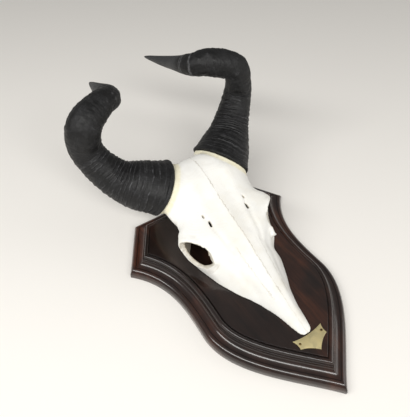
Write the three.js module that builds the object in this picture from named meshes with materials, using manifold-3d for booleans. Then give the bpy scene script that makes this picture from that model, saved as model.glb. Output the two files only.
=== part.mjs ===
// A hartebeest skull with its horns, fixed on a moulded wooden shield.
// Millimetres. The origin is on the shield's flat back, at the middle of its widest line. +Z leaves the
// shield's face, +Y points from the shield's tip to the horns, and X = 0 is the mirror plane.
import * as THREE from "three";
import { mergeVertices } from "three/addons/utils/BufferGeometryUtils.js";
import Module from "manifold-3d";

const wasm = await Module();
wasm.setup();

// Driving dimensions of the shield
const SHIELD_HALF_WIDTH = 150;
const SHIELD_TIP_Y = -313;
const SHIELD_TOP_Y = 79;
const SHIELD_TOP_HALF_WIDTH = 101.2;
const SHIELD_WAIST_HALF_WIDTH = 109.5;
const SHIELD_BELLY_HALF_WIDTH = 111.4;
const SHIELD_BELLY_Y = -150;
const PANEL_Z = 32.4;
const MOULDING_WIDTH = 27.5;

// Driving dimensions of the skull
const GAP = 0.3;
const BONE_WALL = 5;
const NOSE_SOLID_Y = -206;
const BACK_SOLID_Y = 46;
const BONE_BASE_Z = PANEL_Z + GAP;
const ORBIT_CENTRE = new THREE.Vector3(-64, -65, 69);
const ORBIT_LONG_RADIUS = 22;
const ORBIT_SHORT_RADIUS = 15.5;
const ORBIT_DEPTH = 68;

// Driving dimensions of the horns
const RIM_CENTRE = new THREE.Vector3(-54, 57, 98.1);
const RIM_NORMAL = new THREE.Vector3(-0.759, 0.391, 0.521).normalize();
const RIM_LONG_AXIS = new THREE.Vector3(0.295, 0.919, -0.26);
const RIM_LONG_RADIUS = 47.4;
const RIM_SHORT_RADIUS = 39.4;
const HORN_RADII = [
  [0, 42], [0.11, 36.5], [0.19, 29.5], [0.31, 24], [0.42, 24.2],
  [0.51, 22.4], [0.58, 18.8], [0.77, 10], [1, 1.2],
];
const SHEATH_WALLS = [4.4, 4.6, 5, 6, 7.6, 10, 13.5, 18, 23];
const CORE_GAP = 0.6;
const HORN_STATIONS = 46;
const HORN_SIDES = 20;
const RING_RELIEF = 0.9;
const RINGS_END = 0.72;
const TILT_END = 0.16;

// Driving dimensions of the name plate
const PLATE_THICK = 0.9;
const PLATE_HALF_WIDTH = 24.7;
const PLATE_TOP_Y = -228.9;
const PLATE_EAR_HALF_WIDTH = 22.9;
const PLATE_EAR_Y = -243.2;
const PLATE_TIP_Y = -257.7;
const PIN_X = 18.8;
const PIN_Y = -237.1;
const PIN_HEAD_RADIUS = 1.7;
const PIN_SHANK_RADIUS = 0.7;
const PIN_LENGTH = 9;

// Builds a closed mesh from loops with the same number of points, closing both ends.
// The cap function gives the triangles of an end loop, and a fan round its middle is the default.
function loft(loops, capTriangles) {
  const size = loops[0].length;
  const points = loops.flat();
  const faces = [];
  for (let k = 0; k + 1 < loops.length; k++) {
    for (let i = 0; i < size; i++) {
      const a = k * size + i;
      const b = k * size + ((i + 1) % size);
      faces.push([a, b, b + size], [a, b + size, a + size]);
    }
  }
  const last = (loops.length - 1) * size;
  if (capTriangles) {
    for (const [a, b, c] of capTriangles(loops[0])) faces.push([c, b, a]);
    for (const [a, b, c] of capTriangles(loops.at(-1))) faces.push([last + a, last + b, last + c]);
  } else {
    const start = points.push(middle(loops[0])) - 1;
    const end = points.push(middle(loops.at(-1))) - 1;
    for (let i = 0; i < size; i++) {
      const j = (i + 1) % size;
      faces.push([start, j, i], [end, last + i, last + j]);
    }
  }
  return facingOut(points, faces);
}

function middle(loop) {
  const sum = loop.reduce((total, point) => total.add(point), new THREE.Vector3());
  return sum.divideScalar(loop.length);
}

// Turns the faces round if the volume that they enclose comes out negative.
function facingOut(points, faces) {
  let volume = 0;
  for (const [a, b, c] of faces) volume += points[a].dot(points[b].clone().cross(points[c]));
  const order = volume < 0 ? faces.map(([a, b, c]) => [a, c, b]) : faces;
  const geometry = new THREE.BufferGeometry().setFromPoints(points);
  return geometry.setIndex(order.flat());
}

function toSolid(geometry) {
  const bare = geometry.clone();
  bare.deleteAttribute("normal");
  bare.deleteAttribute("uv");
  const merged = mergeVertices(bare, 1e-4);
  const triVerts = new Uint32Array(merged.index.array);
  const vertProperties = new Float32Array(merged.attributes.position.array);
  return new wasm.Manifold(new wasm.Mesh({ numProp: 3, vertProperties, triVerts }));
}

function toGeometry(solid) {
  const mesh = solid.getMesh();
  const geometry = new THREE.BufferGeometry();
  geometry.setAttribute("position", new THREE.BufferAttribute(new Float32Array(mesh.vertProperties), 3));
  return geometry.setIndex(new THREE.BufferAttribute(new Uint32Array(mesh.triVerts), 1));
}

function mirrored(geometry) {
  const copy = geometry.clone().applyMatrix4(new THREE.Matrix4().makeScale(-1, 1, 1));
  const index = copy.index.array;
  for (let i = 0; i < index.length; i += 3) [index[i], index[i + 1]] = [index[i + 1], index[i]];
  return copy;
}

// A cylinder from one point to another, with 8 sides unless more are asked for.
function rod(from, to, radius, sides = 8) {
  const along = to.clone().sub(from);
  const geometry = new THREE.CylinderGeometry(radius, radius, along.length(), sides);
  const turn = new THREE.Quaternion().setFromUnitVectors(new THREE.Vector3(0, 1, 0), along.normalize());
  const centre = from.clone().add(to).multiplyScalar(0.5);
  return geometry.applyMatrix4(new THREE.Matrix4().compose(centre, turn, new THREE.Vector3(1, 1, 1)));
}

// The shield

// The outline of the right half, from the tip up to the top corner: a full lower belly, a hollow sweep out
// to the widest corner, a straight chamfer and the straight top.
function shieldOutline() {
  const lower = new THREE.CubicBezierCurve(
    new THREE.Vector2(0, SHIELD_TIP_Y),
    new THREE.Vector2(42, SHIELD_TIP_Y + 49),
    new THREE.Vector2(SHIELD_BELLY_HALF_WIDTH, SHIELD_BELLY_Y - 63),
    new THREE.Vector2(SHIELD_BELLY_HALF_WIDTH, SHIELD_BELLY_Y),
  );
  const sweep = new THREE.CubicBezierCurve(
    new THREE.Vector2(SHIELD_BELLY_HALF_WIDTH, SHIELD_BELLY_Y),
    new THREE.Vector2(SHIELD_WAIST_HALF_WIDTH, SHIELD_BELLY_Y + 45),
    new THREE.Vector2(SHIELD_WAIST_HALF_WIDTH - 7.5, -48),
    new THREE.Vector2(SHIELD_HALF_WIDTH, 0),
  );
  const half = [...lower.getPoints(10), ...sweep.getPoints(10).slice(1)];
  half.push(new THREE.Vector2(SHIELD_TOP_HALF_WIDTH, SHIELD_TOP_Y));
  const other = half.slice(1).reverse();
  return [...half, ...other.map((p) => new THREE.Vector2(-p.x, p.y))];
}

// The outline moved inward by a distance, each corner along its mitre.
function inset(outline, distance) {
  const count = outline.length;
  return outline.map((point, i) => {
    const before = point.clone().sub(outline[(i + count - 1) % count]).normalize();
    const after = outline[(i + 1) % count].clone().sub(point).normalize();
    const inA = new THREE.Vector2(-before.y, before.x);
    const inB = new THREE.Vector2(-after.y, after.x);
    const mitre = inA.clone().add(inB).divideScalar(1 + inA.dot(inB));
    return point.clone().addScaledVector(mitre, distance);
  });
}

// The moulding from the bottom edge to the panel, as pairs of inward distance and height: an upright edge
// with a rounded top, a fillet, a wide cove, a second fillet, a bead and the quirk beside the flat panel.
function mouldingProfile() {
  const profile = [[0.8, 0], [0, 0.8]];
  for (let i = 0; i <= 4; i++) {
    const turn = (i / 4) * (Math.PI / 2);
    profile.push([5 * (1 - Math.cos(turn)), 7.5 + 4.5 * Math.sin(turn)]);
  }
  profile.push([6.5, 12], [6.5, 13.4]);
  for (let i = 1; i <= 4; i++) {
    const turn = (i / 4) * (Math.PI / 2);
    profile.push([6.5 + 9.5 * Math.sin(turn), 13.4 + 9.6 * (1 - Math.cos(turn))]);
  }
  profile.push([17.2, 23.6], [17.2, 25]);
  for (let i = 1; i <= 4; i++) {
    const turn = Math.PI * (i / 4);
    profile.push([20.6 - 3.4 * Math.cos(turn), 27.6 + 4 * Math.sin(turn)]);
  }
  profile.push([24.8, 28.6], [25.4, 28.6], [MOULDING_WIDTH, PANEL_Z]);
  return profile;
}

function shieldGeometry() {
  const outline = shieldOutline();
  const loops = mouldingProfile().map(([distance, height]) =>
    inset(outline, distance).map((p) => new THREE.Vector3(p.x, p.y, height)),
  );
  const cap = (loop) => THREE.ShapeUtils.triangulateShape(loop.map((p) => new THREE.Vector2(p.x, p.y)), []);
  let board = toSolid(loft(loops, cap));
  for (const side of [-1, 1]) {
    const top = new THREE.Vector3(side * PIN_X, PIN_Y, PANEL_Z + 2);
    const bottom = new THREE.Vector3(side * PIN_X, PIN_Y, PANEL_Z - PIN_LENGTH);
    board = board.subtract(toSolid(rod(bottom, top, PIN_SHANK_RADIUS + GAP + 0.1)));
  }
  return toGeometry(board);
}

// The skull

// Cross-sections of the bone from the nose to the back of the head. Each has the Y of its foot on the
// panel, the Y of its crown, and half of its curve as pairs of X and height from the crown down to the foot.
const SECTIONS = [
  [-230.5, -230.5, [[0, 34.4], [2.2, 34.3], [3.9, 34], [5, 33.6], [5.4, BONE_BASE_Z]]],
  [-226, -226, [[0, 36], [4, 35.8], [7, 35.2], [8.8, 34.3], [9.4, BONE_BASE_Z]]],
  [-216, -216, [[0, 39.2], [5, 38.6], [8.8, 37], [11.2, 35], [12.2, BONE_BASE_Z]]],
  [-203, -203, [[0, 43.4], [6, 42.4], [10.6, 39.2], [13.8, 35.8], [15, BONE_BASE_Z]]],
  [-189, -189, [[0, 48], [7.5, 46.2], [13, 41.4], [16.6, 36.6], [18, BONE_BASE_Z]]],
  [-165, -165, [[0, 57.5], [10.5, 54.8], [18.5, 46], [23.8, 38], [26.5, BONE_BASE_Z]]],
  [-150, -150, [[0, 63], [13, 59.4], [23, 49], [30, 39.2], [34, BONE_BASE_Z]]],
  [-131, -131, [[0, 70], [16, 65.8], [29, 53], [38, 40], [43.5, BONE_BASE_Z]]],
  [-107, -107, [[0, 81], [21, 75.6], [36.5, 62.5], [48, 44.5], [53.5, BONE_BASE_Z]]],
  [-90, -90, [[0, 88.5], [26, 83.4], [45, 71], [57, 52], [59.5, BONE_BASE_Z]]],
  [-75, -75, [[0, 94], [30, 89.2], [52, 80], [65, 57], [63, BONE_BASE_Z]]],
  [-60, -60, [[0, 98.5], [35, 94.2], [65, 87], [74, 62], [66, BONE_BASE_Z]]],
  [-45, -45, [[0, 103], [38, 97.8], [74, 90], [78, 64], [67.5, BONE_BASE_Z]]],
  [-32, -32, [[0, 107.5], [40, 102.4], [76, 90], [77, 66], [67, BONE_BASE_Z]]],
  [-16, -16, [[0, 113.6], [40, 108.8], [70, 89], [62, 62], [55, BONE_BASE_Z]]],
  [0, 0, [[0, 121], [40, 118.6], [72, 91], [57, 62], [48, BONE_BASE_Z]]],
  [14, 15, [[0, 127], [40, 128], [73, 98], [60, 64], [45, BONE_BASE_Z]]],
  [25, 33, [[0, 131.6], [34, 131], [64, 104], [57, 66], [43, BONE_BASE_Z]]],
  [33, 50, [[0, 132.5], [28, 130], [54, 106], [52, 68], [40, BONE_BASE_Z]]],
  [40, 64, [[0, 128], [24, 124], [45, 102], [46, 66], [36, BONE_BASE_Z]]],
  [45, 71, [[0, 114], [20, 110], [37, 90], [38, 58], [30, BONE_BASE_Z]]],
  [48, 68, [[0, 92], [16, 88], [29, 72], [30, 48], [24, BONE_BASE_Z]]],
  [50, 60, [[0, 62], [10, 60], [19, 52], [21, 41], [18, BONE_BASE_Z]]],
];

// The closed loop of one section. The curve is smooth through its points, and its foot line closes it.
// A wall above zero gives the hollow's loop: inside the bone by that wall, and open below the panel.
function sectionLoop([footY, crownY, half], wall) {
  const curve = new THREE.SplineCurve(half.map(([x, z]) => new THREE.Vector2(x, z)));
  const count = 8;
  const side = [];
  for (let i = 0; i <= count; i++) {
    const point = curve.getPoint(i / count);
    const along = i === 0 ? new THREE.Vector2(1, 0) : curve.getTangent(i / count);
    const inward = new THREE.Vector2(along.y, -along.x);
    side.push(point.addScaledVector(inward, wall));
  }
  side[0].x = 0;
  if (wall > 0) side[count].y = BONE_BASE_Z - 6;
  const crownZ = half[0][1];
  const place = (x, z) => {
    const share = (z - BONE_BASE_Z) / (crownZ - BONE_BASE_Z);
    return new THREE.Vector3(x, footY + (crownY - footY) * share, z);
  };
  const right = side.map((p) => place(p.x, p.y));
  const left = side.slice(1).map((p) => place(-p.x, p.y));
  return [...right, ...left.reverse()];
}

// The raised collar of bone that a horn stands on, from inside the skull up to just under the horn's rim.
function collar(frames) {
  const loops = [[-34, 0.74], [-16, 0.9], [-GAP, 0.975]].map(([depth, share]) => {
    const centre = frames[0].centre.clone().addScaledVector(RIM_NORMAL, depth);
    return ovalLoop({ ...frames[0], centre }, (radius) => radius * share);
  });
  return loft(loops);
}

// The bone core inside the horn's sheath. It starts inside the collar and ends one station before the socket.
function core(frames) {
  const foot = { ...frames[0], centre: frames[0].centre.clone().addScaledVector(RIM_NORMAL, -2) };
  const walls = SHEATH_WALLS.slice(0, -1);
  const loops = walls.map((wall, k) => ovalLoop(frames[k], (radius) => radius - wall - CORE_GAP));
  const footLoop = ovalLoop(foot, (radius) => radius - SHEATH_WALLS[0] - CORE_GAP);
  return loft([footLoop, ...loops]);
}

// The eye socket: an oval opening from the side of the face into the hollow of the skull.
function orbit() {
  const outward = new THREE.Vector3(-0.8, -0.42, 0.42).normalize();
  const forward = new THREE.Vector3(0.3, -0.9, -0.32);
  const across = forward.clone().cross(outward).normalize();
  const long = outward.clone().cross(across);
  const turn = new THREE.Matrix4().makeBasis(long, outward, across).setPosition(ORBIT_CENTRE);
  const geometry = new THREE.CylinderGeometry(1, 1, ORBIT_DEPTH, 18);
  return geometry.scale(ORBIT_LONG_RADIUS, 1, ORBIT_SHORT_RADIUS).applyMatrix4(turn);
}

// A vessel opening in the forehead, a short slit that goes through the bone.
function foramen(x, y, radius) {
  const from = new THREE.Vector3(x, y, 84);
  const to = new THREE.Vector3(x, y, 114);
  return rod(from, to, radius);
}

function skullGeometry() {
  const hollowed = SECTIONS.filter(([footY]) => footY > NOSE_SOLID_Y && footY < BACK_SOLID_Y);
  const hollow = toSolid(loft(hollowed.map((section) => sectionLoop(section, BONE_WALL))));
  const leftFrames = hornFrames(LEFT_LINE);
  const rightFrames = hornFrames(RIGHT_LINE);
  const grown = [
    collar(leftFrames),
    core(leftFrames),
    mirrored(collar(rightFrames)),
    mirrored(core(rightFrames)),
  ];
  const openings = [orbit(), foramen(-32.7, -44.5, 2.4), foramen(-36.1, -30.4, 1.6)];
  let bone = toSolid(loft(SECTIONS.map((section) => sectionLoop(section, 0))));
  for (const body of grown) bone = bone.add(toSolid(body));
  bone = bone.subtract(hollow);
  for (const opening of openings) {
    bone = bone.subtract(toSolid(opening)).subtract(toSolid(mirrored(opening)));
  }
  return toGeometry(bone);
}

// The horns

// The middle line of a horn, from the rim out and up round the elbow and back along the tip. Both are
// written on the left side. The two horns share their lower part, and the right one is bent a little more.
function hornLine(upper) {
  const points = [
    [-92.2, 88.5, 104.7],
    [-114, 108, 120],
    [-137.1, 126.9, 159],
    [-127.4, 130, 203],
    ...upper,
  ];
  const vectors = points.map((point) => new THREE.Vector3(...point));
  return new THREE.CatmullRomCurve3([RIM_CENTRE, ...vectors], false, "centripetal");
}

// The sheath's radius at a share of the horn's length.
function hornRadius(share) {
  const after = HORN_RADII.findIndex(([place]) => place >= share - 1e-9);
  const k = Math.max(after, 1);
  const [x0, r0] = HORN_RADII[k - 1];
  const [x1, r1] = HORN_RADII[k];
  const before = HORN_RADII[Math.max(k - 2, 0)];
  const next = HORN_RADII[Math.min(k + 1, HORN_RADII.length - 1)];
  const slope0 = (r1 - before[1]) / (x1 - before[0]);
  const slope1 = (next[1] - r0) / (next[0] - x0);
  const step = x1 - x0;
  const t = (share - x0) / step;
  const hermite0 = (1 + 2 * t) * (1 - t) * (1 - t) * r0 + t * (1 - t) * (1 - t) * step * slope0;
  return hermite0 + t * t * (3 - 2 * t) * r1 + t * t * (t - 1) * step * slope1;
}

// The stations along a horn. The first lies in the rim's plane, and the next ones turn square to the line.
function hornFrames(line) {
  const frames = [];
  let long = RIM_LONG_AXIS.clone();
  for (let k = 0; k <= HORN_STATIONS; k++) {
    const share = k / HORN_STATIONS;
    const settle = THREE.MathUtils.smoothstep(share, 0, TILT_END);
    const normal = RIM_NORMAL.clone().lerp(line.getTangentAt(share), settle).normalize();
    const short = long.clone().cross(normal).normalize();
    long = normal.clone().cross(short);
    const radius = hornRadius(share);
    const longRadius = THREE.MathUtils.lerp(RIM_LONG_RADIUS, radius, settle);
    const shortRadius = THREE.MathUtils.lerp(RIM_SHORT_RADIUS, radius, settle);
    frames.push({ share, centre: line.getPointAt(share), normal, long, short, longRadius, shortRadius });
  }
  return frames;
}

// The oval loop at a station, with both radii passed through a function.
function ovalLoop({ centre, long, short, longRadius, shortRadius }, change) {
  return Array.from({ length: HORN_SIDES }, (_, i) => {
    const turn = (i / HORN_SIDES) * 2 * Math.PI;
    const point = centre.clone().addScaledVector(long, change(longRadius) * Math.cos(turn));
    return point.addScaledVector(short, change(shortRadius) * Math.sin(turn));
  });
}

// A horn sheath with its growth rings as raised and sunk stations, and the socket for the bone core.
function hornGeometry(line) {
  const frames = hornFrames(line);
  const loops = frames.map((frame, k) => {
    const fade = 1 - THREE.MathUtils.smoothstep(frame.share, RINGS_END * 0.6, RINGS_END);
    const relief = k === 0 ? 0 : RING_RELIEF * fade * (k % 2 ? -1 : 1);
    return ovalLoop(frame, (radius) => radius + relief);
  });
  const mouth = { ...frames[0], centre: frames[0].centre.clone().addScaledVector(RIM_NORMAL, -8) };
  const socketLoops = SHEATH_WALLS.map((wall, k) => ovalLoop(frames[k], (radius) => radius - wall));
  const mouthLoop = ovalLoop(mouth, (radius) => radius - SHEATH_WALLS[0]);
  return toGeometry(toSolid(loft(loops)).subtract(toSolid(loft([mouthLoop, ...socketLoops]))));
}

// The name plate and its pins

// A thin plate with five points and hollow sides. The pins go through a hole in each upper ear.
function plateGeometry() {
  const corners = [
    [-PLATE_HALF_WIDTH, PLATE_TOP_Y],
    [-PLATE_EAR_HALF_WIDTH, PLATE_EAR_Y],
    [0, PLATE_TIP_Y],
    [PLATE_EAR_HALF_WIDTH, PLATE_EAR_Y],
    [PLATE_HALF_WIDTH, PLATE_TOP_Y],
  ];
  const middles = [
    [-PLATE_EAR_HALF_WIDTH + 2, -236.4],
    [-10.2, -246.6],
    [10.2, -246.6],
    [PLATE_EAR_HALF_WIDTH - 2, -236.4],
    [0, PLATE_TOP_Y - 6],
  ];
  const shape = new THREE.Shape().moveTo(...corners[0]);
  middles.forEach((middlePoint, i) => shape.quadraticCurveTo(...middlePoint, ...corners[(i + 1) % 5]));
  for (const side of [-1, 1]) {
    const hole = new THREE.Path().absarc(side * PIN_X, PIN_Y, PIN_SHANK_RADIUS + GAP, 0, 2 * Math.PI);
    shape.holes.push(hole);
  }
  return new THREE.ExtrudeGeometry(shape, { depth: PLATE_THICK, bevelEnabled: false, curveSegments: 6 });
}

// A domed pin, with its head over the plate and its shank in the board. Z = 0 is under the head.
function pinGeometry() {
  const profile = [
    [0, -PIN_LENGTH + 1.5],
    [PIN_SHANK_RADIUS, -PIN_LENGTH + 2.5],
    [PIN_SHANK_RADIUS, 0],
    [PIN_HEAD_RADIUS, 0],
    [PIN_HEAD_RADIUS * 0.85, 0.55],
    [PIN_HEAD_RADIUS * 0.45, 0.85],
    [0, 0.95],
  ].map(([x, y]) => new THREE.Vector2(x, y));
  return new THREE.LatheGeometry(profile, 10).rotateX(Math.PI / 2);
}

// The whole

const LEFT_LINE = hornLine([[-95, 149.7, 214], [-75.7, 169.5, 207], [-66.5, 229, 183], [-55.5, 301.5, 152]]);
const RIGHT_LINE = hornLine([[-95, 149.7, 218], [-75.7, 169.5, 213], [-65.5, 229, 192], [-54.5, 301.5, 168]]);
const wood = new THREE.MeshStandardMaterial({ color: 0x35201a, roughness: 0.28, metalness: 0 });
const bone = new THREE.MeshStandardMaterial({ color: 0xf4f1e4, roughness: 0.7, metalness: 0 });
const keratin = new THREE.MeshStandardMaterial({ color: 0x2b2c2f, roughness: 0.6, metalness: 0 });
const brass = new THREE.MeshStandardMaterial({ color: 0xc9b36a, roughness: 0.35, metalness: 1 });

const root = new THREE.Group();

function place(name, geometry, material, height = 0) {
  geometry.computeVertexNormals();
  const mesh = new THREE.Mesh(geometry, material);
  mesh.name = name;
  mesh.position.z = height;
  root.add(mesh);
  return mesh;
}

place("shield", shieldGeometry(), wood);
place("skull", skullGeometry(), bone);
place("horn_left", hornGeometry(LEFT_LINE), keratin);
place("horn_right", mirrored(hornGeometry(RIGHT_LINE)), keratin);
place("name_plate", plateGeometry(), brass, PANEL_Z + GAP);
for (const [side, name] of [[-1, "plate_pin_left"], [1, "plate_pin_right"]]) {
  const pin = place(name, pinGeometry(), brass, PANEL_Z + GAP + PLATE_THICK + GAP);
  pin.position.x = side * PIN_X;
  pin.position.y = PIN_Y;
}

export default root;
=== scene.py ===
# %% [markdown]
# # A hartebeest skull on its shield
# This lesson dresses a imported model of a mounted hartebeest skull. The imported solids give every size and
# place, and this file gives the looks: bleached bone, ringed black horn, lacquered wood and aged brass.
# Lengths are written in millimetres, as a cabinet maker would, and turned into Blender's metres once.

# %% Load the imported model
import math
import bmesh
import bpy
import numpy as np
import openvdb
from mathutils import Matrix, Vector


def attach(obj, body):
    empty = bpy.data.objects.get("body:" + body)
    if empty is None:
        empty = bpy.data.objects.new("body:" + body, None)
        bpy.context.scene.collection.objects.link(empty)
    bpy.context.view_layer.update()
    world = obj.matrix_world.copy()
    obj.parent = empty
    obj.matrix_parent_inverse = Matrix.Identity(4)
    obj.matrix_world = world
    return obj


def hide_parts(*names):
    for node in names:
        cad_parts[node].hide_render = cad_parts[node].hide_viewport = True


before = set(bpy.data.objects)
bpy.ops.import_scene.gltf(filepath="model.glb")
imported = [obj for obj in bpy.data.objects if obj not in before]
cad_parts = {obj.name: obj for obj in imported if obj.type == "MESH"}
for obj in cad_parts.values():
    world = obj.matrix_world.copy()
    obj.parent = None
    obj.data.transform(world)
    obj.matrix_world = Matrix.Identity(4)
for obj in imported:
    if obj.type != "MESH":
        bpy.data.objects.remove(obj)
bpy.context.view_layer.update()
MM = 0.001
print("nodes:", sorted(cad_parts))

# %% [markdown]
# ## Camera
# The shield is the same on both sides of its middle line, so the photograph's view of its corners fixes the
# camera: where it stood, where it looked and how long its lens is. With the camera first, every later render
# can be laid over the photograph.

# %% Place the camera
CAMERA_PLACE = Vector((-273.24, -396.07, 602.40)) * MM
CAMERA_YAW = 33.355
CAMERA_PITCH = 47.935
FOCAL_PIXELS = 459.94
PHOTO_WIDTH, PHOTO_HEIGHT = 410, 417
SENSOR = 36.0

camera_data = bpy.data.cameras.new("photo_camera")
camera_data.sensor_width = SENSOR
camera_data.lens = FOCAL_PIXELS / PHOTO_HEIGHT * SENSOR
camera_data.clip_start = 0.02
camera = bpy.data.objects.new("photo_camera", camera_data)
bpy.context.scene.collection.objects.link(camera)
yaw, pitch = math.radians(CAMERA_YAW), math.radians(CAMERA_PITCH)
look = Vector((math.sin(yaw) * math.cos(pitch), math.cos(yaw) * math.cos(pitch), -math.sin(pitch)))
camera.location = CAMERA_PLACE
camera.rotation_mode = "QUATERNION"
camera.rotation_quaternion = look.to_track_quat("-Z", "Y")
camera.rotation_mode = "XYZ"
bpy.context.scene.camera = camera
print("lens in millimetres:", round(camera_data.lens, 2))

# %% [markdown]
# ## Floor and light
# A wide pale floor stands in for a studio table. One long, narrow lamp hangs to the left and behind the
# camera, as a row of windows does: it lights the left cheek, leaves the right flank in soft shade and draws
# the bright lines on the lacquered mouldings. A dim lamp on the right opens the shadows.

# %% Lay the floor
FLOOR_HALF = 6.0
FLOOR_Z = -0.0006


def material(name):
    """A new material, with its node tree and its shader."""
    made = bpy.data.materials.new(name)
    made.use_nodes = True
    return made, made.node_tree, made.node_tree.nodes["Principled BSDF"]


floor_mesh = bpy.data.meshes.new("floor")
floor_points = [(x * FLOOR_HALF, y * FLOOR_HALF, FLOOR_Z) for x, y in ((-1, -1), (1, -1), (1, 1), (-1, 1))]
floor_mesh.from_pydata(floor_points, [], [(0, 1, 2, 3)])
floor = bpy.data.objects.new("floor", floor_mesh)
bpy.context.scene.collection.objects.link(floor)
floor_paint, _, floor_shader = material("floor_paint")
floor_shader.inputs["Base Color"].default_value = (0.93, 0.905, 0.865, 1)
floor_shader.inputs["Roughness"].default_value = 0.75
floor_mesh.materials.append(floor_paint)

# %% Hang the lamps
AIM = Vector((0.0, -60.0, 60.0)) * MM
SKY_COLOUR = (1.0, 0.99, 0.97, 1)
SKY_STRENGTH = 0.25


def lamp(name, place, width, height, watts, colour):
    """A rectangular lamp that looks at the middle of the skull."""
    data = bpy.data.lights.new(name, "AREA")
    data.shape = "RECTANGLE"
    data.size = width
    data.size_y = height
    data.energy = watts
    data.color = colour
    made = bpy.data.objects.new(name, data)
    made.location = place
    made.rotation_euler = (AIM - Vector(place)).to_track_quat("-Z", "Y").to_euler()
    bpy.context.scene.collection.objects.link(made)
    print(name, "lamp:", width, "x", height, "m,", watts, "W")


lamp("window", (-0.75, -0.7, 1.4), 3.0, 0.36, 36, (1.0, 0.99, 0.965))
lamp("fill", (1.6, -1.0, 0.9), 1.2, 1.2, 7, (1.0, 0.985, 0.96))
world = bpy.data.worlds.new("studio")
world.use_nodes = True
sky = world.node_tree.nodes["Background"]
sky.inputs["Color"].default_value = SKY_COLOUR
sky.inputs["Strength"].default_value = SKY_STRENGTH
bpy.context.scene.world = world
bpy.context.scene.view_settings.view_transform = "Standard"

# %% [markdown]
# ## Helpers for meshes
# Every piece below ends as one closed mesh that sits at the origin, so that its place is in its points. A
# loft joins loops of points that all have the same count, which suits a shape that changes along its length.

# %% Mesh helpers
def new_piece(name, points, faces, smooth_angle=None):
    """A smooth-shaded piece with its faces turned outwards, sharp only past the given angle."""
    mesh = bpy.data.meshes.new(name)
    mesh.from_pydata([tuple(p) for p in points], [], [tuple(f) for f in faces])
    mesh.update()
    build = bmesh.new()
    build.from_mesh(mesh)
    bmesh.ops.recalc_face_normals(build, faces=build.faces)
    build.to_mesh(mesh)
    build.free()
    mesh.polygons.foreach_set("use_smooth", [True] * len(mesh.polygons))
    if smooth_angle is not None:
        mesh.set_sharp_from_angle(angle=math.radians(smooth_angle))
    piece = bpy.data.objects.new(name, mesh)
    bpy.context.scene.collection.objects.link(piece)
    return piece


def loft_faces(loops, size):
    """Quads between neighbouring loops of points."""
    faces = []
    for k in range(loops - 1):
        for i in range(size):
            a, b = k * size + i, k * size + (i + 1) % size
            faces.append((a, b, b + size, a + size))
    return faces


def cap_faces(loops, size):
    """Fans that close both ends of a loft, whose two end points come after all of its loops."""
    start, last = loops * size, (loops - 1) * size
    faces = []
    for i in range(size):
        j = (i + 1) % size
        faces += [(start, j, i), (start + 1, last + i, last + j)]
    return faces


def flat_caps(loops, size):
    """One flat face for each end of a loft."""
    last = (loops - 1) * size
    return [tuple(reversed(range(size))), tuple(range(last, last + size))]


def loft_points(loops):
    """The points of all loops, followed by the middle of the first and of the last."""
    return np.vstack([*loops, loops[0].mean(axis=0), loops[-1].mean(axis=0)])


def finish_piece(piece, finish, node):
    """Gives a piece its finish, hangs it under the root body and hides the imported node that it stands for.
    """
    piece.data.materials.clear()
    piece.data.materials.append(finish)
    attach(piece, "root")
    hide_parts(node)
    print(piece.name, "faces:", len(piece.data.polygons))


def point_attribute(piece, name, values):
    """Stores one number on each point, for a finish or a tree of nodes to read."""
    layer = piece.data.attributes.new(name, "FLOAT", "POINT")
    layer.data.foreach_set("value", np.asarray(values, dtype=np.float32))

# %% [markdown]
# ## Helpers for nodes
# A procedural finish is a small network of nodes, and so is a rule in Geometry Nodes. These helpers keep
# each network readable: a noise, a colour ramp, a product and a bump are one short call each. All patterns
# read Object coordinates, because the pieces are never moved, so a pattern stays on its piece.

# %% Node helpers
class Network:
    """A node tree, with short calls that each add one node and give its output."""

    def __init__(self, tree):
        self.tree = tree

    def add(self, kind, **settings):
        node = self.tree.nodes.new(kind)
        for name, value in settings.items():
            setattr(node, name, value)
        return node

    def link(self, source, target):
        self.tree.links.new(source, target)

    def put(self, socket, value):
        """Sets a socket to a number or a colour, or links it to another node's output."""
        if isinstance(value, (int, float)):
            socket.default_value = value
        elif isinstance(value, tuple):
            socket.default_value = (*value, 1)
        else:
            self.link(value, socket)

    def fill(self, node, *values):
        for socket, value in zip(node.inputs, values):
            self.put(socket, value)
        return node.outputs[0]

    def math(self, kind, *values):
        return self.fill(self.add("ShaderNodeMath", operation=kind), *values)

    def plus(self, a, b):
        return self.math("ADD", a, b)

    def minus(self, a, b):
        return self.math("SUBTRACT", a, b)

    def times(self, a, b):
        return self.math("MULTIPLY", a, b)

    def larger(self, a, b):
        return self.math("MAXIMUM", a, b)

    def vector(self, x, y, z):
        return self.fill(self.add("ShaderNodeCombineXYZ"), x, y, z)

    def step(self, value, low, high, out_low=0.0, out_high=1.0):
        """Goes smoothly from out_low to out_high while the value goes from low to high."""
        node = self.add("ShaderNodeMapRange", interpolation_type="SMOOTHSTEP")
        return self.fill(node, value, low, high, out_low, out_high)

    def noise(self, vector, scale, detail, rough=0.5, twist=0.0):
        node = self.add("ShaderNodeTexNoise")
        node.inputs["Scale"].default_value = scale
        node.inputs["Detail"].default_value = detail
        node.inputs["Roughness"].default_value = rough
        node.inputs["Distortion"].default_value = twist
        self.link(vector, node.inputs["Vector"])
        return node.outputs[0]


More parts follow.
